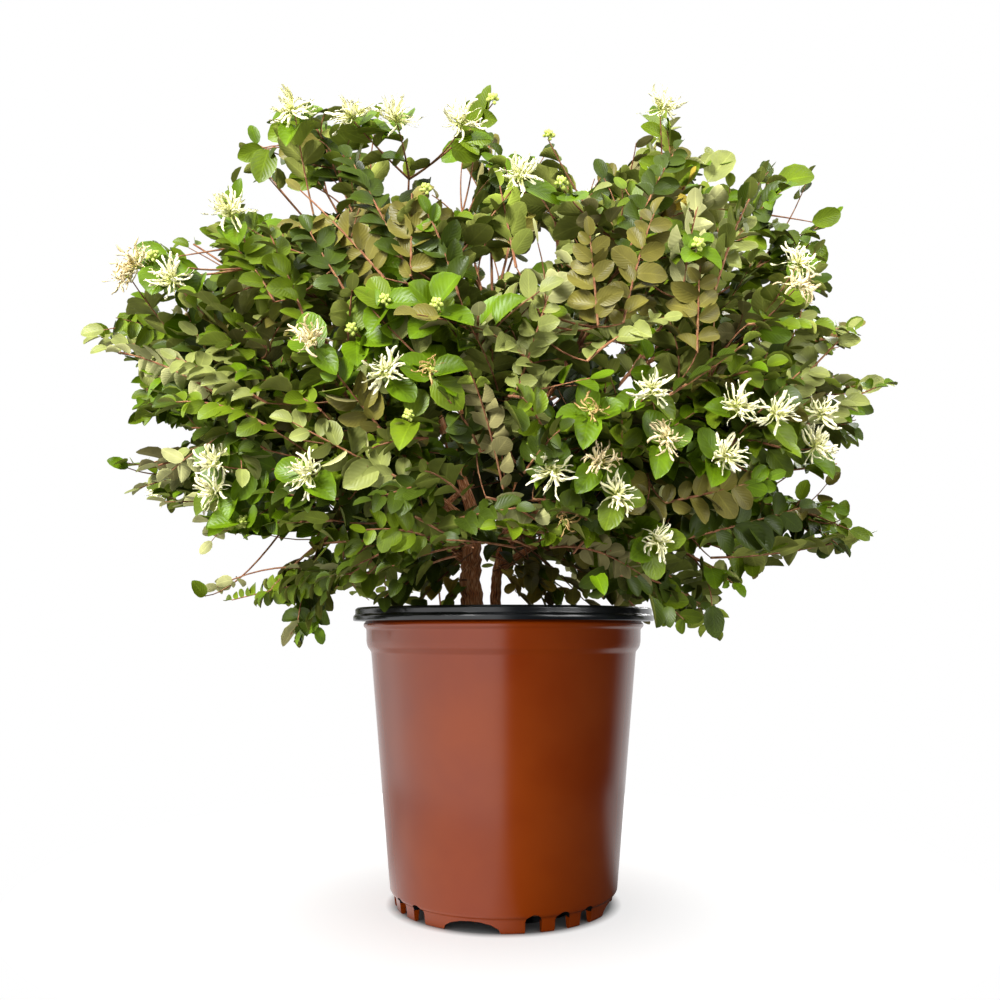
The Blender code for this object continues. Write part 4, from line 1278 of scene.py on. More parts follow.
# %% Sprays of the front
FRONT_SPRAYS = (
    (402, 484, 292, 422, "sage", 1.10), (506, 488, 470, 372, "bronze", 0.90),
    (486, 498, 568, 548, "sage", 1.00), (522, 374, 548, 296, "sage", 0.85),
    (470, 552, 392, 566, "dark", 0.95), (452, 566, 378, 600, "dark", 0.95),
    (560, 556, 640, 574, "bronze", 0.85), (600, 548, 556, 588, "bronze", 0.80),
    (284, 300, 266, 224, "mid", 0.90), (332, 272, 310, 232, "dark", 0.95),
    (366, 420, 330, 366, "bronze", 1.00), (250, 424, 176, 402, "mid", 0.90),
    (240, 392, 176, 358, "sage", 0.90), (205, 396, 120, 352, "sage", 0.90),
    (238, 444, 160, 432, "dark", 0.85), (310, 524, 216, 520, "young", 0.95),
    (350, 548, 262, 552, "mid", 0.90), (392, 230, 350, 158, "dark", 1.00),
    (372, 252, 300, 190, "bronze", 0.90), (402, 250, 412, 186, "bronze", 0.90),
    (640, 302, 654, 214, "bronze", 0.95), (612, 304, 590, 236, "bronze", 0.90),
    (704, 276, 698, 205, "sage", 1.00), (740, 268, 768, 172, "dark", 0.95),
    (722, 336, 700, 266, "bronze", 0.95), (776, 306, 846, 330, "mid", 0.80),
    (806, 402, 850, 330, "sage", 0.90), (822, 432, 884, 384, "sage", 0.90),
    (690, 504, 768, 478, "bronze", 0.95), (740, 566, 866, 535, "mid", 1.20),
    (700, 548, 800, 508, "dark", 1.20), (660, 572, 714, 632, "dark", 1.20),
    (640, 588, 700, 604, "dark", 1.10), (600, 344, 664, 318, "sage", 0.90),
    (540, 348, 456, 322, "sage", 0.85), (690, 384, 744, 344, "dark", 0.95),
    (610, 530, 560, 512, "dark", 0.90), (430, 480, 372, 500, "dark", 0.95), (560, 440, 520, 396, "mid", 0.90),
    (420, 430, 372, 448, "mid", 0.90), (300, 400, 236, 372, "mid", 0.95), (330, 500, 270, 492, "dark", 0.90),
    (455, 270, 428, 214, "dark", 0.95), (520, 240, 500, 186, "dark", 0.90), (640, 462, 622, 420, "mid", 0.95),
    (240, 330, 196, 296, "mid", 0.90), (250, 280, 222, 240, "mid", 0.90), (330, 330, 352, 290, "mid", 0.95),
    (780, 470, 846, 462, "mid", 0.90), (760, 440, 800, 372, "dark", 0.95), (480, 446, 448, 400, "dark", 0.90),
    (440, 526, 516, 508, "dark", 0.95), (520, 556, 446, 540, "dark", 0.95), (566, 540, 496, 526, "mid", 0.90),
    (404, 520, 474, 548, "dark", 0.95), (540, 500, 604, 522, "dark", 0.90),
    (462, 500, 420, 470, "dark", 0.90), (530, 470, 560, 430, "dark", 0.90), (500, 545, 545, 556, "mid", 0.85),
    (430, 548, 366, 530, "mid", 0.90), (330, 590, 208, 592, "sage", 0.85), (318, 580, 300, 636, "dark", 0.90),
    (400, 545, 330, 576, "dark", 0.90), (350, 586, 262, 596, "mid", 0.85), (330, 586, 232, 600, "mid", 0.80),
    (640, 240, 676, 150, "dark", 0.85),
)
print("sprays of the front:", len(FRONT_SPRAYS))

# %% The crown's rounded front
CROWN_MIDDLE, CROWN_HALF = Vector((-0.008, 0, 0.425)), Vector((0.315, 0.262, 0.232))
CROWN_EDGE = 0.03  # how far in front of the axis the outline lies
FIRST_GUESS, GUESSES = -0.1, 6


def crown_front(u, v):
    """The point of the crown's rounded front that shows at this place of the picture."""
    y = FIRST_GUESS
    for _ in range(GUESSES):
        point = seen_at(u, v, y)
        across = (point.x - CROWN_MIDDLE.x) / CROWN_HALF.x
        high = (point.z - CROWN_MIDDLE.z) / CROWN_HALF.z
        y = -CROWN_EDGE - (CROWN_HALF.y - CROWN_EDGE) * math.sqrt(max(0.0, 1 - across**2 - high**2))
    return seen_at(u, v, y)


print("the crown's front is at y =", round(crown_front(PICTURE / 2, PICTURE / 2).y, 3))

# %% Front sprays in place
SPRAY_POINTS, SPRAY_LEAF_SIZE = 11, 0.86
SPRAY_SUNK = 22 * MM  # how deep in the crown a spray starts
SPRAY_CARRIER = 40 * MM
SPRAY_ROOM = 13  # pixels round its stem that are kept free in the picture
front_rng = random.Random("front sprays")
in_front = []
for u, v, tip_u, tip_v, tint, size in FRONT_SPRAYS:
    start, tip = crown_front(u, v), crown_front(tip_u, tip_v)
    start = start + (HUB - start).normalized() * SPRAY_SUNK
    tip = tip + (EYE - tip).normalized() * front_rng.uniform(-22, 10) * MM
    shoot_to(start, SPRAY_CARRIER, (tip - start).normalized())
    bend = start.lerp(tip, 0.5) + UP * (tip - start).length * front_rng.uniform(-0.05, 0.22)
    path = bezier(start, bend, tip, SPRAY_POINTS)
    add_twig(path, 0.95, 0.45)
    spray(path, tint, front_rng, 0.02, front_rng.uniform(-0.7, 0.7), size * SPRAY_LEAF_SIZE)
    in_front += [(*row, SPRAY_ROOM) for row in in_picture(rows_of(path))[1::2]]
print("leaves so far:", len(leaves))

# %% [markdown]
# ## Blossoms
# White fringe flower bears tufts of strap-shaped petals, narrow and crinkled like shredded paper, about 40 mm
# across. Each tuft sits at the end of a short shoot in a rosette of young lime leaves. The table gives the
# place of every tuft that the picture shows, how open it is and how many young leaves ring it. Its depth
# comes from the round shape of the crown.

# %% Blossom places
BLOSSOMS = (
    (292, 107, "fresh", 3), (352, 113, "fresh", 3), (396, 116, "fresh", 4), (460, 120, "fresh", 3),
    (663, 105, "fresh", 3), (229, 210, "fresh", 3), (134, 262, "aged", 4), (126, 274, "aged", 3),
    (150, 252, "bud", 5), (171, 277, "fresh", 2), (310, 338, "aged", 5), (385, 370, "fresh", 3),
    (430, 367, "spent", 6), (213, 462, "fresh", 5), (212, 490, "fresh", 4), (306, 472, "fresh", 3),
    (520, 172, "fresh", 3), (592, 408, "spent", 4), (653, 388, "fresh", 3), (668, 437, "aged", 4),
    (740, 405, "fresh", 2), (777, 412, "fresh", 2), (823, 412, "fresh", 2), (726, 455, "fresh", 4),
    (818, 445, "fresh", 2), (553, 470, "fresh", 4), (601, 461, "aged", 5), (618, 494, "fresh", 4),
    (566, 520, "spent", 3), (658, 540, "fresh", 6), (800, 283, "aged", 3), (800, 262, "fresh", 2),
    (493, 94, "bud", 0), (549, 130, "bud", 1), (408, 412, "bud", 2), (425, 184, "bud", 0),
    (562, 178, "bud", 1), (350, 325, "bud", 4), (384, 296, "bud", 5), (436, 300, "bud", 4),
    (240, 520, "bud", 4), (700, 240, "bud", 3),
)
print("blossoms and buds that show:", len(BLOSSOMS))

# %% Tufts and their young leaves
Tuft = namedtuple("Tuft", "place way kind size")
tufts = []
YOUNG_LENGTHS, YOUNG_RATIO = (18, 25), (0.68, 0.82)  # the lengths in millimetres


def rosette(place, way, count, rng):
    """Young leaves round the end of a shoot, turned outwards and facing about as the tuft does."""
    across = way.orthogonal().normalized()
    first = rng.uniform(0, math.tau)
    for k in range(count):
        out = Matrix.Rotation(first + math.tau * k / count + rng.uniform(-0.5, 0.5), 3, way) @ across
        root = place - way * rng.uniform(3, 16) * MM + out * MM
        lift = math.radians(rng.uniform(0, 48))
        direction = out * math.cos(lift) + way * math.sin(lift) * 0.7
        normal = way + out * rng.uniform(-0.4, 0.1) + UP * rng.uniform(-0.2, 0.5)
        tint = "young" if rng.random() < 0.8 else "mid"
        length, ratio = rng.uniform(*YOUNG_LENGTHS) * MM, rng.uniform(*YOUNG_RATIO)
        add_leaf(root, direction, normal, length, ratio, tint, rng)


def add_tuft(place, way, kind, young, rng, length=0.06):
    """A shoot with a tuft at its tip and its rosette of leaves."""
    near = min(1.0, 0.55 + 0.6 * (place - EYE).length)  # the nearest tufts are a little smaller
    tufts.append(Tuft(place - way * 4 * MM, way, kind, near * rng.uniform(0.85, 1.02)))
    path = shoot_to(place - way * 6 * MM, length, way)
    spray(path, "young" if young > 3 else "mid", rng, 0.25, rng.uniform(-0.5, 0.5))
    rosette(place, way, young, rng)


BUD_ROOM, TUFT_ROOM = 9, 19  # pixels that are kept free round each
tuft_rng = random.Random("tufts")
for u, v, kind, young in BLOSSOMS:
    distance = in_picture(rows_of([crown_front(u, v)]))[0][2]
    kept_in_view.append((u, v, distance, BUD_ROOM if kind == "bud" else TUFT_ROOM))
for u, v, kind, young in BLOSSOMS:
    place = crown_front(u, v)
    outward, viewer = (place - HUB).normalized(), (EYE - place).normalized()
    add_tuft(place, (outward * 0.8 + viewer * 0.5 + UP * 0.35).normalized(), kind, young, tuft_rng)
kept_in_view += in_front
print("tufts:", len(tufts), "leaves so far:", len(leaves))

# %% [markdown]
# The picture doesn't show the back. There the leaders of each mass bear as many tufts as the source gives it,
# and one or two more.

# %% Tufts on the back
BACK_STARTS = 0.03
BACK_TUFT_LIFT = 4 * MM
for leader in leaders:
    way = tangents(leader.points)[-1]
    hidden_side = leader.points[-1].y > BACK_STARTS
    if hidden_side and leader.index < leader.mass.blossoms + 1 + (leader.mass.azimuth % 2):
        kind = "fresh" if leader.index % 2 == 0 else tuft_rng.choice(("fresh", "aged", "bud"))
        add_tuft(leader.points[-1] + way * BACK_TUFT_LIFT, way, kind, 4, tuft_rng, 30 * MM)
print("tufts:", len(tufts), "leaves so far:", len(leaves))

# %% [markdown]
# ## Filling the crown
# Side shoots leave every leader at short distances, each with its own two ranks of leaves, and make the crown
# dense. They turn round the leader from one to the next, lean forward and arch a little, and stay within the
# reach of their mass. Each shoot draws its tint, with other chances in each region of the crown.

# %% Tints by region
UPPER_FROM, LOW_TO = 0.50, 0.30
TINTS = ("mid", "dark", "bronze", "sage", "young", "yellow")
WEIGHTS = {
    "left": (32, 22, 10, 22, 14, 0),
    "right": (34, 26, 10, 16, 14, 0),
    "upper": (22, 42, 20, 6, 8, 2),
    "low": (34, 32, 8, 18, 8, 0),
}


def tint_at(point, rng):
    """A tint drawn with the chances of the region in which the point lies."""
    region = "left" if point.x < 0 else "right"
    if point.z > UPPER_FROM:
        region = "upper"
    elif point.z < LOW_TO:
        region = "low"
    return rng.choices(TINTS, WEIGHTS[region])[0]


print("tints drawn by region:", *WEIGHTS)

# %% Side shoots
SHOOT_LEAN = (34, 62)  # degrees between a side shoot and its carrier
SHOOT_CUTS = (1, 0.75, 0.5)
SHOOT_RISE = 0.12
SIDE_POINTS = 7
FEWEST_LEAVES = 3


def side_shoot(start, way, outward, span, reach, space, slack, tint, rng):
    """One shoot with its leaves, shortened until it has room. A shoot that stays bare is left out."""
    lean = math.radians(rng.uniform(*SHOOT_LEAN))
    direction = (way * math.cos(lean) + outward * math.sin(lean) + UP * SHOOT_RISE).normalized()
    for part in SHOOT_CUTS:
        tip = start + direction * span * part
        path = bezier(start, start + (way + direction).normalized() * span * part * 0.5, tip, SIDE_POINTS)
        if (tip - HUB).length < reach and space.holds(path[2:], slack) and not shows_sky(rows_of(path)):
            if spray(path, tint, rng, 0.16, rng.uniform(-0.6, 0.6)) >= FEWEST_LEAVES:
                add_twig(path, 0.75, 0.35)
            return


def shoots_along(points, first_share, pitch, spans, reach, space, slack, rng, paints_shade=False):
    """Side shoots in turn on both sides of a leader or bough."""
    ways = tangents(points)
    room = LAST_SHARE - first_share
    count = round(length_of(points) * room / pitch)
    turn = rng.uniform(-0.5, 0.5)
    for i in range(count):
        share = first_share + room * (i + rng.uniform(0, 0.5)) / count
        start, way = along(points, share), along(ways, share).normalized()
        side = rank_side(way, turn) * (1 if i % 2 else -1)
        outward = Matrix.Rotation(rng.uniform(-1.1, 1.1), 3, way) @ side
        span = (spans[0] + (spans[1] - spans[0]) * share) * rng.uniform(0.8, 1.2)
        # painted shade: shoots in the middle of the crown take the shade or the dark tint
        tint = rng.choice(("shade", "shade", "dark")) if paints_shade else tint_at(start, rng)
        side_shoot(start, way, outward, span, reach, space, slack, tint, rng)
    return turn


SHOOT_PITCH = 17 * MM
SHOOT_LENGTHS = (78 * MM, 44 * MM)  # at the foot and at the tip of a leader
EDGE_SLACK = -9 * MM  # how far a shoot may leave its mass's wedge
REACH_SLACK = 8 * MM
for leader in leaders:
    rng = random.Random(f"side shoots {leader.mass.name} {leader.index}")
    space, reach = spaces[leader.mass.name], leader.mass.reach + REACH_SLACK
    turn = shoots_along(leader.points, 0.08, SHOOT_PITCH, SHOOT_LENGTHS, reach, space, EDGE_SLACK, rng)
    spray(leader.points, tint_at(leader.points[-1], rng), rng, 0.45, turn)
print("twigs:", len(twigs), "leaves:", len(leaves))

# %% [markdown]
# The boughs carry short leafy shoots too, from a third of their length on. These fill the middle of the
# crown, and their leaves take the shade or the dark tint: painted shade, darker where shade falls.

# %% Shoots on the boughs
INNER_PITCH, INNER_LENGTHS, INNER_SLACK = 12 * MM, (62 * MM, 70 * MM), -45 * MM
for mass in MASSES:
    rng = random.Random(f"bough shoots {mass.name}")
    points, space = limbs[mass.name].points, spaces[mass.name]
    shoots_along(points, 0.30, INNER_PITCH, INNER_LENGTHS, mass.reach, space, INNER_SLACK, rng, True)
print("twigs:", len(twigs), "leaves:", len(leaves))

# %% [markdown]
# Under the crown thin twigs hang towards the rim on both sides of the trunk. Those in the middle are nearly
# bare, with small yellowing leaves. Each row gives where a twig leaves the wood, where its tip shows and how
# deep, the number of its leaves and their tint.

# %% Low twigs
LOW_TWIGS = (
    ((-0.026, -0.004, 0.250), (435, 587, -0.03), 3, "yellow"),
    ((-0.010, -0.004, 0.270), (557, 588, -0.03), 4, "yellow"),
    ((-0.004, 0.004, 0.262), (535, 566, -0.02), 4, "bronze"),
    ((-0.008, 0.002, 0.258), (512, 574, -0.01), 2, "yellow"),
    ((0.010, 0.0, 0.288), (590, 578, -0.05), 7, "bronze"),
    ((-0.030, -0.004, 0.282), (405, 585, -0.06), 7, "dark"),
    ((-0.034, -0.010, 0.290), (384, 598, -0.09), 9, "dark"),
    ((-0.030, 0.0, 0.275), (418, 568, -0.05), 6, "dark"),
    ((0.020, -0.004, 0.296), (622, 580, -0.07), 8, "bronze"),
    ((0.012, 0.010, 0.290), (575, 560, -0.03), 6, "mid"),
    ((-0.02, 0.010, 0.285), (450, 556, 0.03), 6, "dark"), ((0.0, 0.012, 0.280), (528, 552, 0.03), 6, "dark"),
    ((-0.040, 0.020, 0.290), (396, 594, 0.03), 8, "dark"),
    ((-0.034, 0.030, 0.290), (432, 578, 0.06), 6, "mid"),
    ((0.020, 0.020, 0.290), (552, 590, 0.04), 7, "bronze"),
    ((0.030, 0.010, 0.295), (604, 586, 0.02), 7, "dark"),
    ((0.000, -0.020, 0.290), (500, 552, -0.06), 4, "dark"),
    ((-0.040, -0.020, 0.295), (372, 574, -0.08), 8, "mid"),
    ((0.030, -0.020, 0.300), (640, 580, -0.09), 7, "dark"),
    ((0.014, 0.000, 0.285), (540, 596, -0.02), 5, "yellow"),
    ((-0.004, 0.000, 0.262), (516, 592, -0.02), 3, "yellow"),
    ((0.000, 0.000, 0.270), (536, 580, -0.03), 5, "bronze"),
    ((-0.020, 0.006, 0.262), (450, 598, 0.0), 3, "mid"), ((0.004, 0.004, 0.280), (566, 598, -0.03), 5, "mid"),
    ((0.010, 0.004, 0.285), (584, 600, -0.05), 5, "bronze"),
    ((-0.022, -0.004, 0.275), (420, 600, -0.05), 5, "dark"),
)
LOW_ARCH = 5 * MM
LOW_SIZES, LOW_RATIO = (15, 22), 0.62
low_rng = random.Random("low twigs")
for start, (u, v, depth), count, tint in LOW_TWIGS:
    start, tip = Vector(start), seen_at(u, v, depth)
    path = bezier(start, start.lerp(tip, 0.5) + UP * LOW_ARCH, tip, SIDE_POINTS)
    add_twig(path, 0.9, 0.4)
    ways = tangents(path)
    for k in range(count):
        share = 1 - 0.75 * k / max(1, count)
        way = along(ways, share).normalized()
        out = rank_side(way, low_rng.uniform(-0.4, 0.4)) * (1 if k % 2 else -1)
        blade = frame_of((way + out * 0.8 - UP * 0.3).normalized(), UP)
        size = low_rng.uniform(*LOW_SIZES) * MM
        leaves.append(Leaf(along(path, share), blade, size, size * LOW_RATIO, tint, low_rng.randrange(5)))
print("low twigs:", len(LOW_TWIGS), "leaves:", len(leaves))

# %% [markdown]
# Some leaves found no room, which leaves a few shoots with a bare end. Each is cut back to the last point
# that carries something.

# %% Cut back bare ends
LONGEST_BARE = 7 * MM
STEM_POINTS = 3  # a mass's stem stays as it is


def cut_back(path, radii):
    """The twig without its bare end, or None if it is bare all along."""
    last = len(path) - 1
    while last > 0 and carried.find(path[last])[2] > LONGEST_BARE:
        last -= 1
    return (path[: last + 1], radii[: last + 1]) if last > 1 else None


roots = [leaf.root for leaf in leaves] + [tuft.place for tuft in tufts]
starts = [path[0] for path, _ in twigs]
carried = KDTree(len(roots) + len(starts))
for index, place in enumerate(roots + starts):
    carried.insert(place, index)
carried.balance()
cut_twigs = [cut_back(*twig) for twig in twigs if len(twig[0]) > STEM_POINTS]
twigs = [twig for twig in twigs if len(twig[0]) <= STEM_POINTS] + [twig for twig in cut_twigs if twig]
print("twigs that are left:", len(twigs))

# %% [markdown]
# ## Leaf material
# The upper side is a smooth, slightly waxy green with a paler midrib, and the underside is dull and covered
# in short hairs, which makes it sage or tan. Both keep one plain base colour, which the midrib and a slow
# noise only tint; a painted light also brightens the thin rim, as if light shone through the edge. The side
# veins are too fine for the mesh, so a sine across the blade gives them in the bump.

# %% Leaf tints
TINT_COLOURS = {  # of the upper side and the underside
    "young": ("#516A08", "#7C8A32"),
    "mid": ("#586A10", "#7C823C"),
    "dark": ("#38460F", "#5E6628"),
    # painted shade: a darker green for the leaves in the middle of the crown, where shade falls
    "shade": ("#20290C", "#3C431C"),
    "bronze": ("#645E26", "#868052"),
    "sage": ("#7C8244", "#B2B278"),
    "yellow": ("#A08C34", "#AE9C50"),
}
print("tints:", *TINT_COLOURS)

# %% Leaf materials
LEAF_DRIFT = 55  # patches 18 mm wide, about one for each leaf
DRIFT_SHADES = (0.72, 1.30)
# one factor lightens the paler midrib, the leaf's own colour, and the thin rim, where it is painted light
RIB_WIDTH, PALE_RIB_AND_RIM_LIGHT = 0.05, 1.35
VEIN_SLANT, VEIN_COUNT = -0.9, 44.0  # 44 radians are seven pairs of veins


def leaf_material(name, code, roughness, waxy):
    """A leaf side: plain colour, a paler midrib, painted light along the thin rim and fine side veins in the
    bump.
    """
    base = linear(code)
    values = {"Roughness": roughness, "Specular_IOR_Level": waxy}
    made, tree, shader = new_material(name, Base_Color=base, IOR=1.45, **values)
    place = node(tree, "ShaderNodeTexCoord").outputs["Object"]
    drift = node(tree, "ShaderNodeTexNoise", {"Vector": place, "Scale": LEAF_DRIFT, "Detail": 2})
    dull, bright = DRIFT_SHADES
    shade = node(tree, "ShaderNodeMapRange", {0: drift.outputs["Fac"], 1: 0.32, 2: 0.68, 3: dull, 4: bright})
    blade = node(tree, "ShaderNodeUVMap", uv_map="blade").outputs[0]
    parts = node(tree, "ShaderNodeSeparateXYZ", {0: blade})
    off = node(tree, "ShaderNodeMath", {0: parts.outputs[1], 1: 0.5}, operation="SUBTRACT")
    side = node(tree, "ShaderNodeMath", {0: off}, operation="ABSOLUTE")
    # painted light: the colour grows lighter towards the thin rim, as if light shone through the edge
    rim = node(tree, "ShaderNodeMapRange", {0: side, 1: 0.43, 2: 0.5, 3: 1.0, 4: PALE_RIB_AND_RIM_LIGHT})
    centre = {0: side, 1: 0.0, 2: RIB_WIDTH, 3: PALE_RIB_AND_RIM_LIGHT, 4: rim}
    rib_and_rim_light = node(tree, "ShaderNodeMapRange", centre)
    both = node(tree, "ShaderNodeMath", {0: shade, 1: rib_and_rim_light}, operation="MULTIPLY")
    tinted = node(tree, "ShaderNodeVectorMath", {0: base[:3], "Scale": both}, operation="SCALE")
    slant = node(tree, "ShaderNodeMath", {0: side, 1: VEIN_SLANT}, operation="MULTIPLY")
    run = node(tree, "ShaderNodeMath", {0: parts.outputs[0], 1: slant}, operation="ADD")
    veins = node(tree, "ShaderNodeMath", {0: run, 1: VEIN_COUNT}, operation="MULTIPLY")
    wave = node(tree, "ShaderNodeMath", {0: veins}, operation="SINE")
    bump = node(tree, "ShaderNodeBump", {"Height": wave, "Strength": 0.14, "Distance": 0.0004})
    wire(shader, {"Base Color": tinted, "Normal": bump})
    return made


leaf_finishes = {}
for tint, (upper, under) in TINT_COLOURS.items():
    leaf_finishes[tint] = (
        leaf_material(f"leaf_upper_{tint}", upper, 0.40, 0.20),
        leaf_material(f"leaf_under_{tint}", under, 0.70, 0.10),
    )
print("leaf materials:", 2 * len(leaf_finishes))

# %% [markdown]
# ## Dealing out the leaves
# Thousands of leaves share six shapes. Each leaf is a point that stores its turn, its size and the number of
# its shape. A Geometry Nodes tree puts the shape on every point, makes the copies real and gives upper and
# under side their finishes.

# %% Dealing tree


def deal_tree():
    """Puts numbered shapes on points and dresses both of their sides."""
    kinds = [("Shapes", "NodeSocketCollection"), ("Finish", "NodeSocketMaterial")]
    tree, given = group_tree("dealt", *kinds, ("Under finish", "NodeSocketMaterial"))
    turn = node(tree, "GeometryNodeInputNamedAttribute", {"Name": "turn"}, data_type="FLOAT_VECTOR")
    size = node(tree, "GeometryNodeInputNamedAttribute", {"Name": "size"}, data_type="FLOAT_VECTOR")
    kind = node(tree, "GeometryNodeInputNamedAttribute", {"Name": "kind"}, data_type="INT")
    stock = {"Collection": given["Shapes"], "Separate Children": True}
    shapes = node(tree, "GeometryNodeCollectionInfo", stock)
    copies = node(tree, "GeometryNodeInstanceOnPoints", {
        "Points": given["Geometry"],
        "Instance": shapes,
        "Pick Instance": True,
        "Instance Index": kind,
        "Rotation": node(tree, "FunctionNodeEulerToRotation", {0: turn}),
        "Scale": size,
    })
    real = node(tree, "GeometryNodeRealizeInstances", {0: copies})
    dressed = node(tree, "GeometryNodeSetMaterial", {"Geometry": real, "Material": given["Finish"]})
    under = node(tree, "GeometryNodeInputNamedAttribute", {"Name": "underside"}, data_type="BOOLEAN")
    backed = {"Geometry": dressed, "Selection": under, "Material": given["Under finish"]}
    node(tree, "NodeGroupOutput", {0: node(tree, "GeometryNodeSetMaterial", backed)})
    return tree


def points_object(name, rows):
    """A mesh of single points from (place, matrix, size vector, shape number)."""
    mesh = bpy.data.meshes.new(name)
    mesh.from_pydata([tuple(row[0]) for row in rows], [], [])
    turns = np.array([tuple(row[1].to_euler()) for row in rows], np.float32)
    sizes = np.array([tuple(row[2]) for row in rows], np.float32)
    mesh.attributes.new("turn", "FLOAT_VECTOR", "POINT").data.foreach_set("vector", turns.ravel())
    mesh.attributes.new("size", "FLOAT_VECTOR", "POINT").data.foreach_set("vector", sizes.ravel())
    mesh.attributes.new("kind", "INT", "POINT").data.foreach_set("value", [row[3] for row in rows])
    return in_scene(name, mesh)


dealt = deal_tree()
print("the tree that deals shapes has", len(dealt.nodes), "nodes")

# %% Leaf pieces
foliage_pieces = []
for tint, (upper, under) in leaf_finishes.items():
    own = [leaf for leaf in leaves if leaf.tint == tint]
    rows = [(leaf.root, leaf.frame, (leaf.length, leaf.width, leaf.length), leaf.variant) for leaf in own]
    points = points_object(f"leaves_{tint}", rows)
    piece = grown(points, dealt, Shapes=leaf_group, Finish=upper, Under_finish=under)
    foliage_pieces.append(piece)
    print(piece.name, len(own), "leaves,", len(piece.data.polygons), "faces")

# %% [markdown]
# ## Twigs
# All shoots are swept by the same tree as the limbs, with fewer sides and hardly any relief. Each stays a
# chain of points of its own, which starts inside the wood that carries it.

# %% Twigs
twig_piece = grown(path_object("twigs", twigs), tubes, Sides=5, Relief=0.15, Strip=900.0, Finish=twig_bark)
foliage_pieces.append(twig_piece)
print("twigs:", len(twig_piece.data.polygons), "faces")

# %% [markdown]
# ## Petals and hearts
# A petal is a strap 2 mm wide and about 17 mm long that leaves the heart, arches over, curls and twists.
# Eight straps are modelled with seeded differences for each of three ages. A fresh tuft is forty of them,
# each turned its own way, and a spent one has lost more than half. The heart is a cluster of small green
# cups. Buds are the same cups, closed and fatter.

# %% Petal shape
STRAP_HALF_WIDTH, STRAP_THICKNESS = 0.066, 0.009  # as shares of the length
STRAP = (
    (0.0, 0.45), (0.15, 0.8), (0.30, 1.0), (0.46, 1.0), (0.62, 1.0), (0.77, 0.95), (0.90, 0.8), (1.0, 0.45),
)


def petal_shape(name, rng, curl):
    """One strap of length 1, which leaves along +Z and bends and twists as it goes."""
    bm = bmesh.new()
    layer = bm.verts.layers.float.new("share")
    point, way, side, rings = Vector((0, 0, 0)), Vector((0, 0, 1)), Vector((0, 1, 0)), []
    drift = rng.uniform(-0.10, 0.34) * curl
    for (share, half_width), (after, _) in zip(STRAP, [*STRAP[1:], (1.15, 0)]):
        normal = way.cross(side).normalized()
        across, up = side * (STRAP_HALF_WIDTH * half_width), normal * STRAP_THICKNESS
        ring = [point + across, point + up, point - across, point - up]
        rings.append([bm.verts.new(corner) for corner in ring])
        for vert in rings[-1]:
            vert[layer] = share
        point = point + way * (after - share)
        bend = drift + rng.uniform(-0.34, 0.34) * curl
        way = (way + normal * bend + side * rng.uniform(-0.32, 0.32) * curl).normalized()
        side = (side - way * side.dot(way)).normalized()
        side = Matrix.Rotation(rng.uniform(-0.5, 0.5) * curl, 3, way) @ side
    bm.faces.new(rings[0])
    bm.faces.new(rings[-1])
    for low_ring, high_ring in zip(rings, rings[1:]):
        for k in range(4):
            j = (k + 1) % 4
            bm.faces.new((low_ring[k], low_ring[j], high_ring[j], high_ring[k]))
    bmesh.ops.recalc_face_normals(bm, faces=bm.faces)
    mesh = bpy.data.meshes.new(name)
    bm.to_mesh(mesh)
    bm.free()
    mesh.shade_smooth()
    return bpy.data.objects.new(name, mesh)


print("a strap bends at", len(STRAP), "places")

# %% Cups and groups of petals


def cup_shape(name):
    """A round cup of radius 1, a little longer than wide."""
    bm = bmesh.new()
    bmesh.ops.create_icosphere(bm, subdivisions=1, radius=1, matrix=Matrix.Diagonal((1, 1, 1.4, 1)))
    mesh = bpy.data.meshes.new(name)
    bm.to_mesh(mesh)
    bm.free()
    mesh.shade_smooth()
    return bpy.data.objects.new(name, mesh)


Age = namedtuple("Age", "petals widest length curl")
AGES = {
    "fresh": Age(40, 96, 17.5 * MM, 1.15),
    "aged": Age(34, 90, 17 * MM, 1.5),
    "spent": Age(16, 90, 12 * MM, 1.9),
}
PETAL_SHAPES = 8
petal_rng = random.Random("petals")
petal_groups = {}
for name, age in AGES.items():
    petal_groups[name] = bpy.data.collections.new(f"{name}_petals")
    for k in range(PETAL_SHAPES):
        petal_groups[name].objects.link(petal_shape(f"{name}_{k}", petal_rng, age.curl))
cup_group = bpy.data.collections.new("cups")
cup_group.objects.link(cup_shape("cup"))
print("groups of petals:", *petal_groups)

# %% [markdown]
# Petals are thin and matt, cream at the tip and greenish towards the heart. The aged ones have turned tan.
# The colour follows each strap from its foot to its tip, by the share that is stored on its points.

# %% Petal materials


def petal_material(name, foot, middle, tip):
    """A thin matt petal whose colour runs from its foot to its tip."""
    made, tree, shader = new_material(name, Base_Color=linear(tip), Roughness=0.7, Specular_IOR_Level=0.3)
    share = node(tree, "ShaderNodeAttribute", attribute_name="share").outputs["Fac"]
    wire(shader, {"Base Color": ramp(tree, share, (0.0, foot), (0.3, middle), (1.0, tip))})
    return made


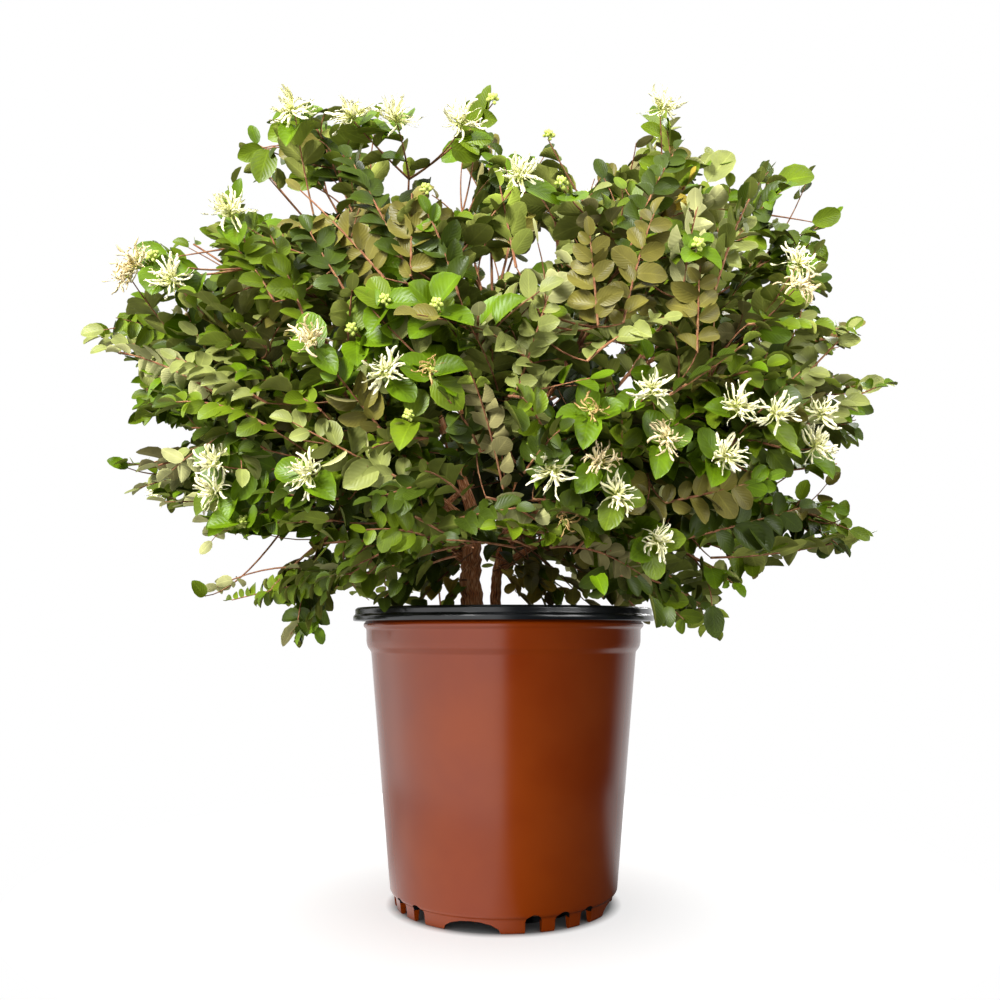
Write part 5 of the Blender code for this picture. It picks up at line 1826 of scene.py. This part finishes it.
petal_finishes = {
    "fresh": petal_material("petal_fresh", "#C6CE5E", "#F4F2B8", "#FBF6D4"),
    "aged": petal_material("petal_aged", "#C0B45C", "#F0E4B4", "#EAD2A4"),
    "spent": petal_material("petal_spent", "#A08C3A", "#C8B070", "#A87E48"),
}
CUP_SPOTS = 700  # per metre, so 1.4 mm
cup_finish, tree, shader = new_material("flower_cup_green", Base_Color=linear("#B4C04E"), Roughness=0.65)
place = node(tree, "ShaderNodeTexCoord").outputs["Object"]
spots = node(tree, "ShaderNodeTexNoise", {"Vector": place, "Scale": CUP_SPOTS, "Detail": 1})
wire(shader, {"Base Color": ramp(tree, spots.outputs["Fac"], (0.35, "#97A83A"), (0.7, "#CBD272"))})
print("petal materials:", len(petal_finishes), "and", cup_finish.name)

# %% [markdown]
# A tuft is really a bunch of four small flowers that lean apart. Each petal is set on its flower by a seeded
# draw, and the cups sit in a spiral round the middle.

# %% Petals and cups of a tuft
FLOWERS = 4
FLOWER_LEAN = (24, 46)  # degrees
NARROWEST = 18
PETAL_SIZES = (0.6, 1.15)
CUP_SPREAD = 100  # degrees
GOLDEN = 0.618  # of a turn between one and the next, so that none stands right behind another


def petal_rows(tuft, rng):
    """The rows of points_object for the petals of one tuft."""
    age = AGES[tuft.kind]
    stand = tuft.way.to_track_quat("Z", "Y").to_matrix()
    first = rng.uniform(0, math.tau)
    rows = []
    for k in range(age.petals):
        lean = math.radians(rng.uniform(*FLOWER_LEAN))
        flower = stand @ Euler((0, lean, first + math.tau * (k % FLOWERS) / FLOWERS)).to_matrix()
        open_by = math.radians(rng.uniform(NARROWEST, age.widest))
        round_by = math.tau * (k // FLOWERS * GOLDEN) + rng.uniform(-0.5, 0.5)
        twist = Matrix.Rotation(rng.uniform(-1.5, 1.5), 3, "Z")
        turn = flower @ Euler((0, open_by, round_by)).to_matrix() @ twist
        size = age.length * tuft.size * rng.uniform(*PETAL_SIZES)
        root = tuft.place + flower @ Vector((0, 0, 2.4 * MM)) + turn @ Vector((0, 0, 0.8 * MM))
        rows.append((root, turn, (size, size, size), rng.randrange(PETAL_SHAPES)))
    return rows


def cup_rows(tuft, rng, count, size, spread):
    """The rows of points_object for a cluster of cups."""
    stand = tuft.way.to_track_quat("Z", "Y").to_matrix()
    rows = []
    for k in range(count):
        open_by, round_by = math.radians(CUP_SPREAD * k / count), math.tau * k * GOLDEN
        turn = stand @ Euler((0, open_by, round_by)).to_matrix()
        own = size * rng.uniform(0.8, 1.2) * tuft.size
        rows.append((tuft.place + turn @ Vector((0, 0, spread * tuft.size)), turn, (own, own, own), 0))
    return rows


print("helpers: petal_rows, cup_rows")

# %% Blossom pieces
CLUSTERS = {  # which tufts have it, the number of cups, their radius and how far they sit from the middle
    "flower_hearts": (AGES, 7, 1.3 * MM, 1.8 * MM),
    "flower_buds": (("bud",), 12, 1.6 * MM, 3.4 * MM),
}
blossom_pieces = []
row_rng = random.Random("tuft rows")
for name, finish in petal_finishes.items():
    rows = [row for tuft in tufts if tuft.kind == name for row in petal_rows(tuft, row_rng)]
    straps = points_object(f"petals_{name}", rows)
    blossom_pieces.append(grown(straps, dealt, Shapes=petal_groups[name], Finish=finish, Under_finish=finish))
for name, (kinds, *cluster) in CLUSTERS.items():
    rows = [row for tuft in tufts if tuft.kind in kinds for row in cup_rows(tuft, row_rng, *cluster)]
    cups = points_object(name, rows)
    blossom_pieces.append(grown(cups, dealt, Shapes=cup_group, Finish=cup_finish, Under_finish=cup_finish))
foliage_pieces += blossom_pieces
for piece in blossom_pieces:
    print(piece.name, len(piece.data.polygons), "faces")

# %% [markdown]
# ## Everything rides on the one body
# Each piece names the solids that it stands for.

# %% Attach the pieces
boughs = [name for name in NODES if name.startswith("bough_")]
masses = [name for name in NODES if name.startswith("foliage_")]
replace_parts(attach(wall, "root"), "pot")
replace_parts(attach(lip, "root"), "pot_lip")
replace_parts(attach(soil, "root"), "soil")
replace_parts(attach(limb_bark, "root"), "trunk", "second_stem", *boughs)
for piece in foliage_pieces:
    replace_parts(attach(piece, "root"), *masses)
print("pieces:", 4 + len(foliage_pieces), "for", 5 + len(boughs) + len(masses), "solids")

# %% [markdown]
# ## Studio
# The plant stands on a round white floor that ends just outside the picture. To the camera the floor glows,
# which thins the shadows to a soft stain round the pot. To the satin wall it is a card, bright on the left
# and behind, that lights the pot from below. Each is told apart by the kind of ray that asks.

# %% Floor
FLOOR_MIDDLE, FLOOR_RADIUS = Vector((0, 0.12, 0)), 0.41
SHADOW_GLOW = {1: 0.10, 2: 0.30, 3: 0.67, 4: 1.0}  # from near the pot to where no shadow falls
LEFT_CARD = {1: -0.02, 2: 0.02, 3: 1.1, 4: 0.0}
BACK_CARD = {1: 0.0, 2: 0.08, 4: 0.7}
bm = bmesh.new()
placed = Matrix.Translation(FLOOR_MIDDLE)
bmesh.ops.create_circle(bm, cap_ends=True, segments=96, radius=FLOOR_RADIUS, matrix=placed)
WHITE = (1, 1, 1, 1)
matt = {"Roughness": 0.95, "Specular_IOR_Level": 0.0, "Emission_Color": WHITE}
floor_paint, tree, shader = new_material("matt_white_paint", Base_Color=(0.93, 0.93, 0.93, 1), **matt)
direct = node(tree, "ShaderNodeLightPath").outputs["Is Camera Ray"]
paint = node(tree, "ShaderNodeMapRange", {0: direct, 3: 0.20, 4: 0.70})
place = node(tree, "ShaderNodeTexCoord").outputs["Object"]
away = node(tree, "ShaderNodeVectorMath", {0: place}, operation="LENGTH").outputs["Value"]
across, back, _ = node(tree, "ShaderNodeSeparateXYZ", {0: place}).outputs
clear = node(tree, "ShaderNodeMapRange", {0: away, **SHADOW_GLOW})
card = node(tree, "ShaderNodeMapRange", {0: across, **LEFT_CARD})
card = node(tree, "ShaderNodeMapRange", {0: back, 3: card, **BACK_CARD})
seen = node(tree, "ShaderNodeMapRange", {0: direct, 3: card, 4: clear})
under = node(tree, "ShaderNodeMapRange", {0: away, 1: 0.082, 2: 0.092})  # no glow beneath the pot
glow = node(tree, "ShaderNodeMath", {0: seen, 1: under}, operation="MULTIPLY")
wire(shader, {"Base Color": paint, "Emission Strength": glow})
floor = mesh_object("floor", bm, floor_paint)
print("floor:", 2 * FLOOR_RADIUS, "m across")

# %% [markdown]
# Plant and pot need different light, as in a studio with flags and grids. A key light from the front left
# models the leaves, with a weak fill from the right, a little light from above and one more for the back.
# These four light all but the brown wall. The wall has a tall narrow light of its own, slightly warm, whose
# grid keeps it on the left and which shows in no reflection.

# %% Lights


def soft_box(name, place, aim, size, power, tall=None, tint=(1, 1, 1)):
    """A soft light that shines from place to aim, square unless it is made tall."""
    made = in_scene(name, bpy.data.lights.new(name, "AREA"))
    made.data.shape = "RECTANGLE"
    made.data.size, made.data.size_y = size, tall or size
    made.data.energy = power
    made.data.color = tint
    made.location = place
    made.rotation_euler = (Vector(aim) - Vector(place)).to_track_quat("-Z", "Y").to_euler()
    return made


def lit_only(lights, pieces):
    """These lights shine on these pieces alone."""
    chosen = bpy.data.collections.new(f"lit_by_{lights[0].name}")
    for piece in pieces:
        chosen.objects.link(piece)
    for light in lights:
        light.light_linking.receiver_collection = chosen


key = soft_box("key_left", (-1.08, -1.7, 1.3), (0, 0, 0.4), 0.6, 108)
fill = soft_box("fill_right", (1.3, -1.3, 0.9), (0, 0, 0.35), 1.0, 30)
top = soft_box("top", (0.1, -0.3, 2.1), (0, 0, 0.4), 1.6, 16)
back_fill = soft_box("back_fill", (1.1, 1.3, 1.3), (0, 0, 0.4), 1.2, 42)
lit_only([key, fill, top, back_fill], [lip, soil, limb_bark, *foliage_pieces])
wall_light = {"size": 0.10, "power": 0.23, "tall": 0.7, "tint": (1, 0.92, 0.8)}
wall_key = soft_box("wall_key", (-0.32, -1.45, 0.30), (-0.020, -0.10, 0.12), **wall_light)
wall_key.data.spread = math.radians(10)
wall_key.visible_glossy = False
lit_only([wall_key], [wall])
print("lights:", key.name, fill.name, top.name, back_fill.name, wall_key.name)

# %% [markdown]
# Round all this the studio is white to the camera. The satin plastic mirrors something else: a wide bright
# wall from behind the camera to the left, a dark screen on the right, a white wall behind and a bright
# ceiling. That gives the pot its pale left half and its dark right half. All other surfaces get an even grey
# light.

# %% Surroundings
LEFT_WALL, RIGHT_SCREEN, BACK_WALL, CEILING = 1.85, 0.02, 0.95, 0.8
EVEN_LIGHT = 0.52
world = bpy.data.worlds.new("white_studio")
bpy.context.scene.world = world
world.use_nodes = True
tree = world.node_tree
direction = node(tree, "ShaderNodeTexCoord").outputs["Generated"]
right, behind, above = node(tree, "ShaderNodeSeparateXYZ", {0: direction}).outputs
sides = node(tree, "ShaderNodeMapRange", {0: right, 1: -0.02, 2: 0.02, 3: LEFT_WALL, 4: RIGHT_SCREEN})
back = node(tree, "ShaderNodeMapRange", {0: behind, 1: 0.34, 2: 0.66, 3: sides, 4: BACK_WALL})
mirrored = node(tree, "ShaderNodeMapRange", {0: above, 1: 0.50, 2: 0.66, 3: back, 4: CEILING})
ray = node(tree, "ShaderNodeLightPath").outputs
level = node(tree, "ShaderNodeMapRange", {0: ray["Is Glossy Ray"], 3: EVEN_LIGHT, 4: mirrored})
level = node(tree, "ShaderNodeMapRange", {0: ray["Is Camera Ray"], 3: level, 4: 1.0})
wire(tree.nodes["Background"], {"Color": WHITE, "Strength": level})
bpy.context.scene.view_settings.view_transform = "Standard"
print("world:", world.name)
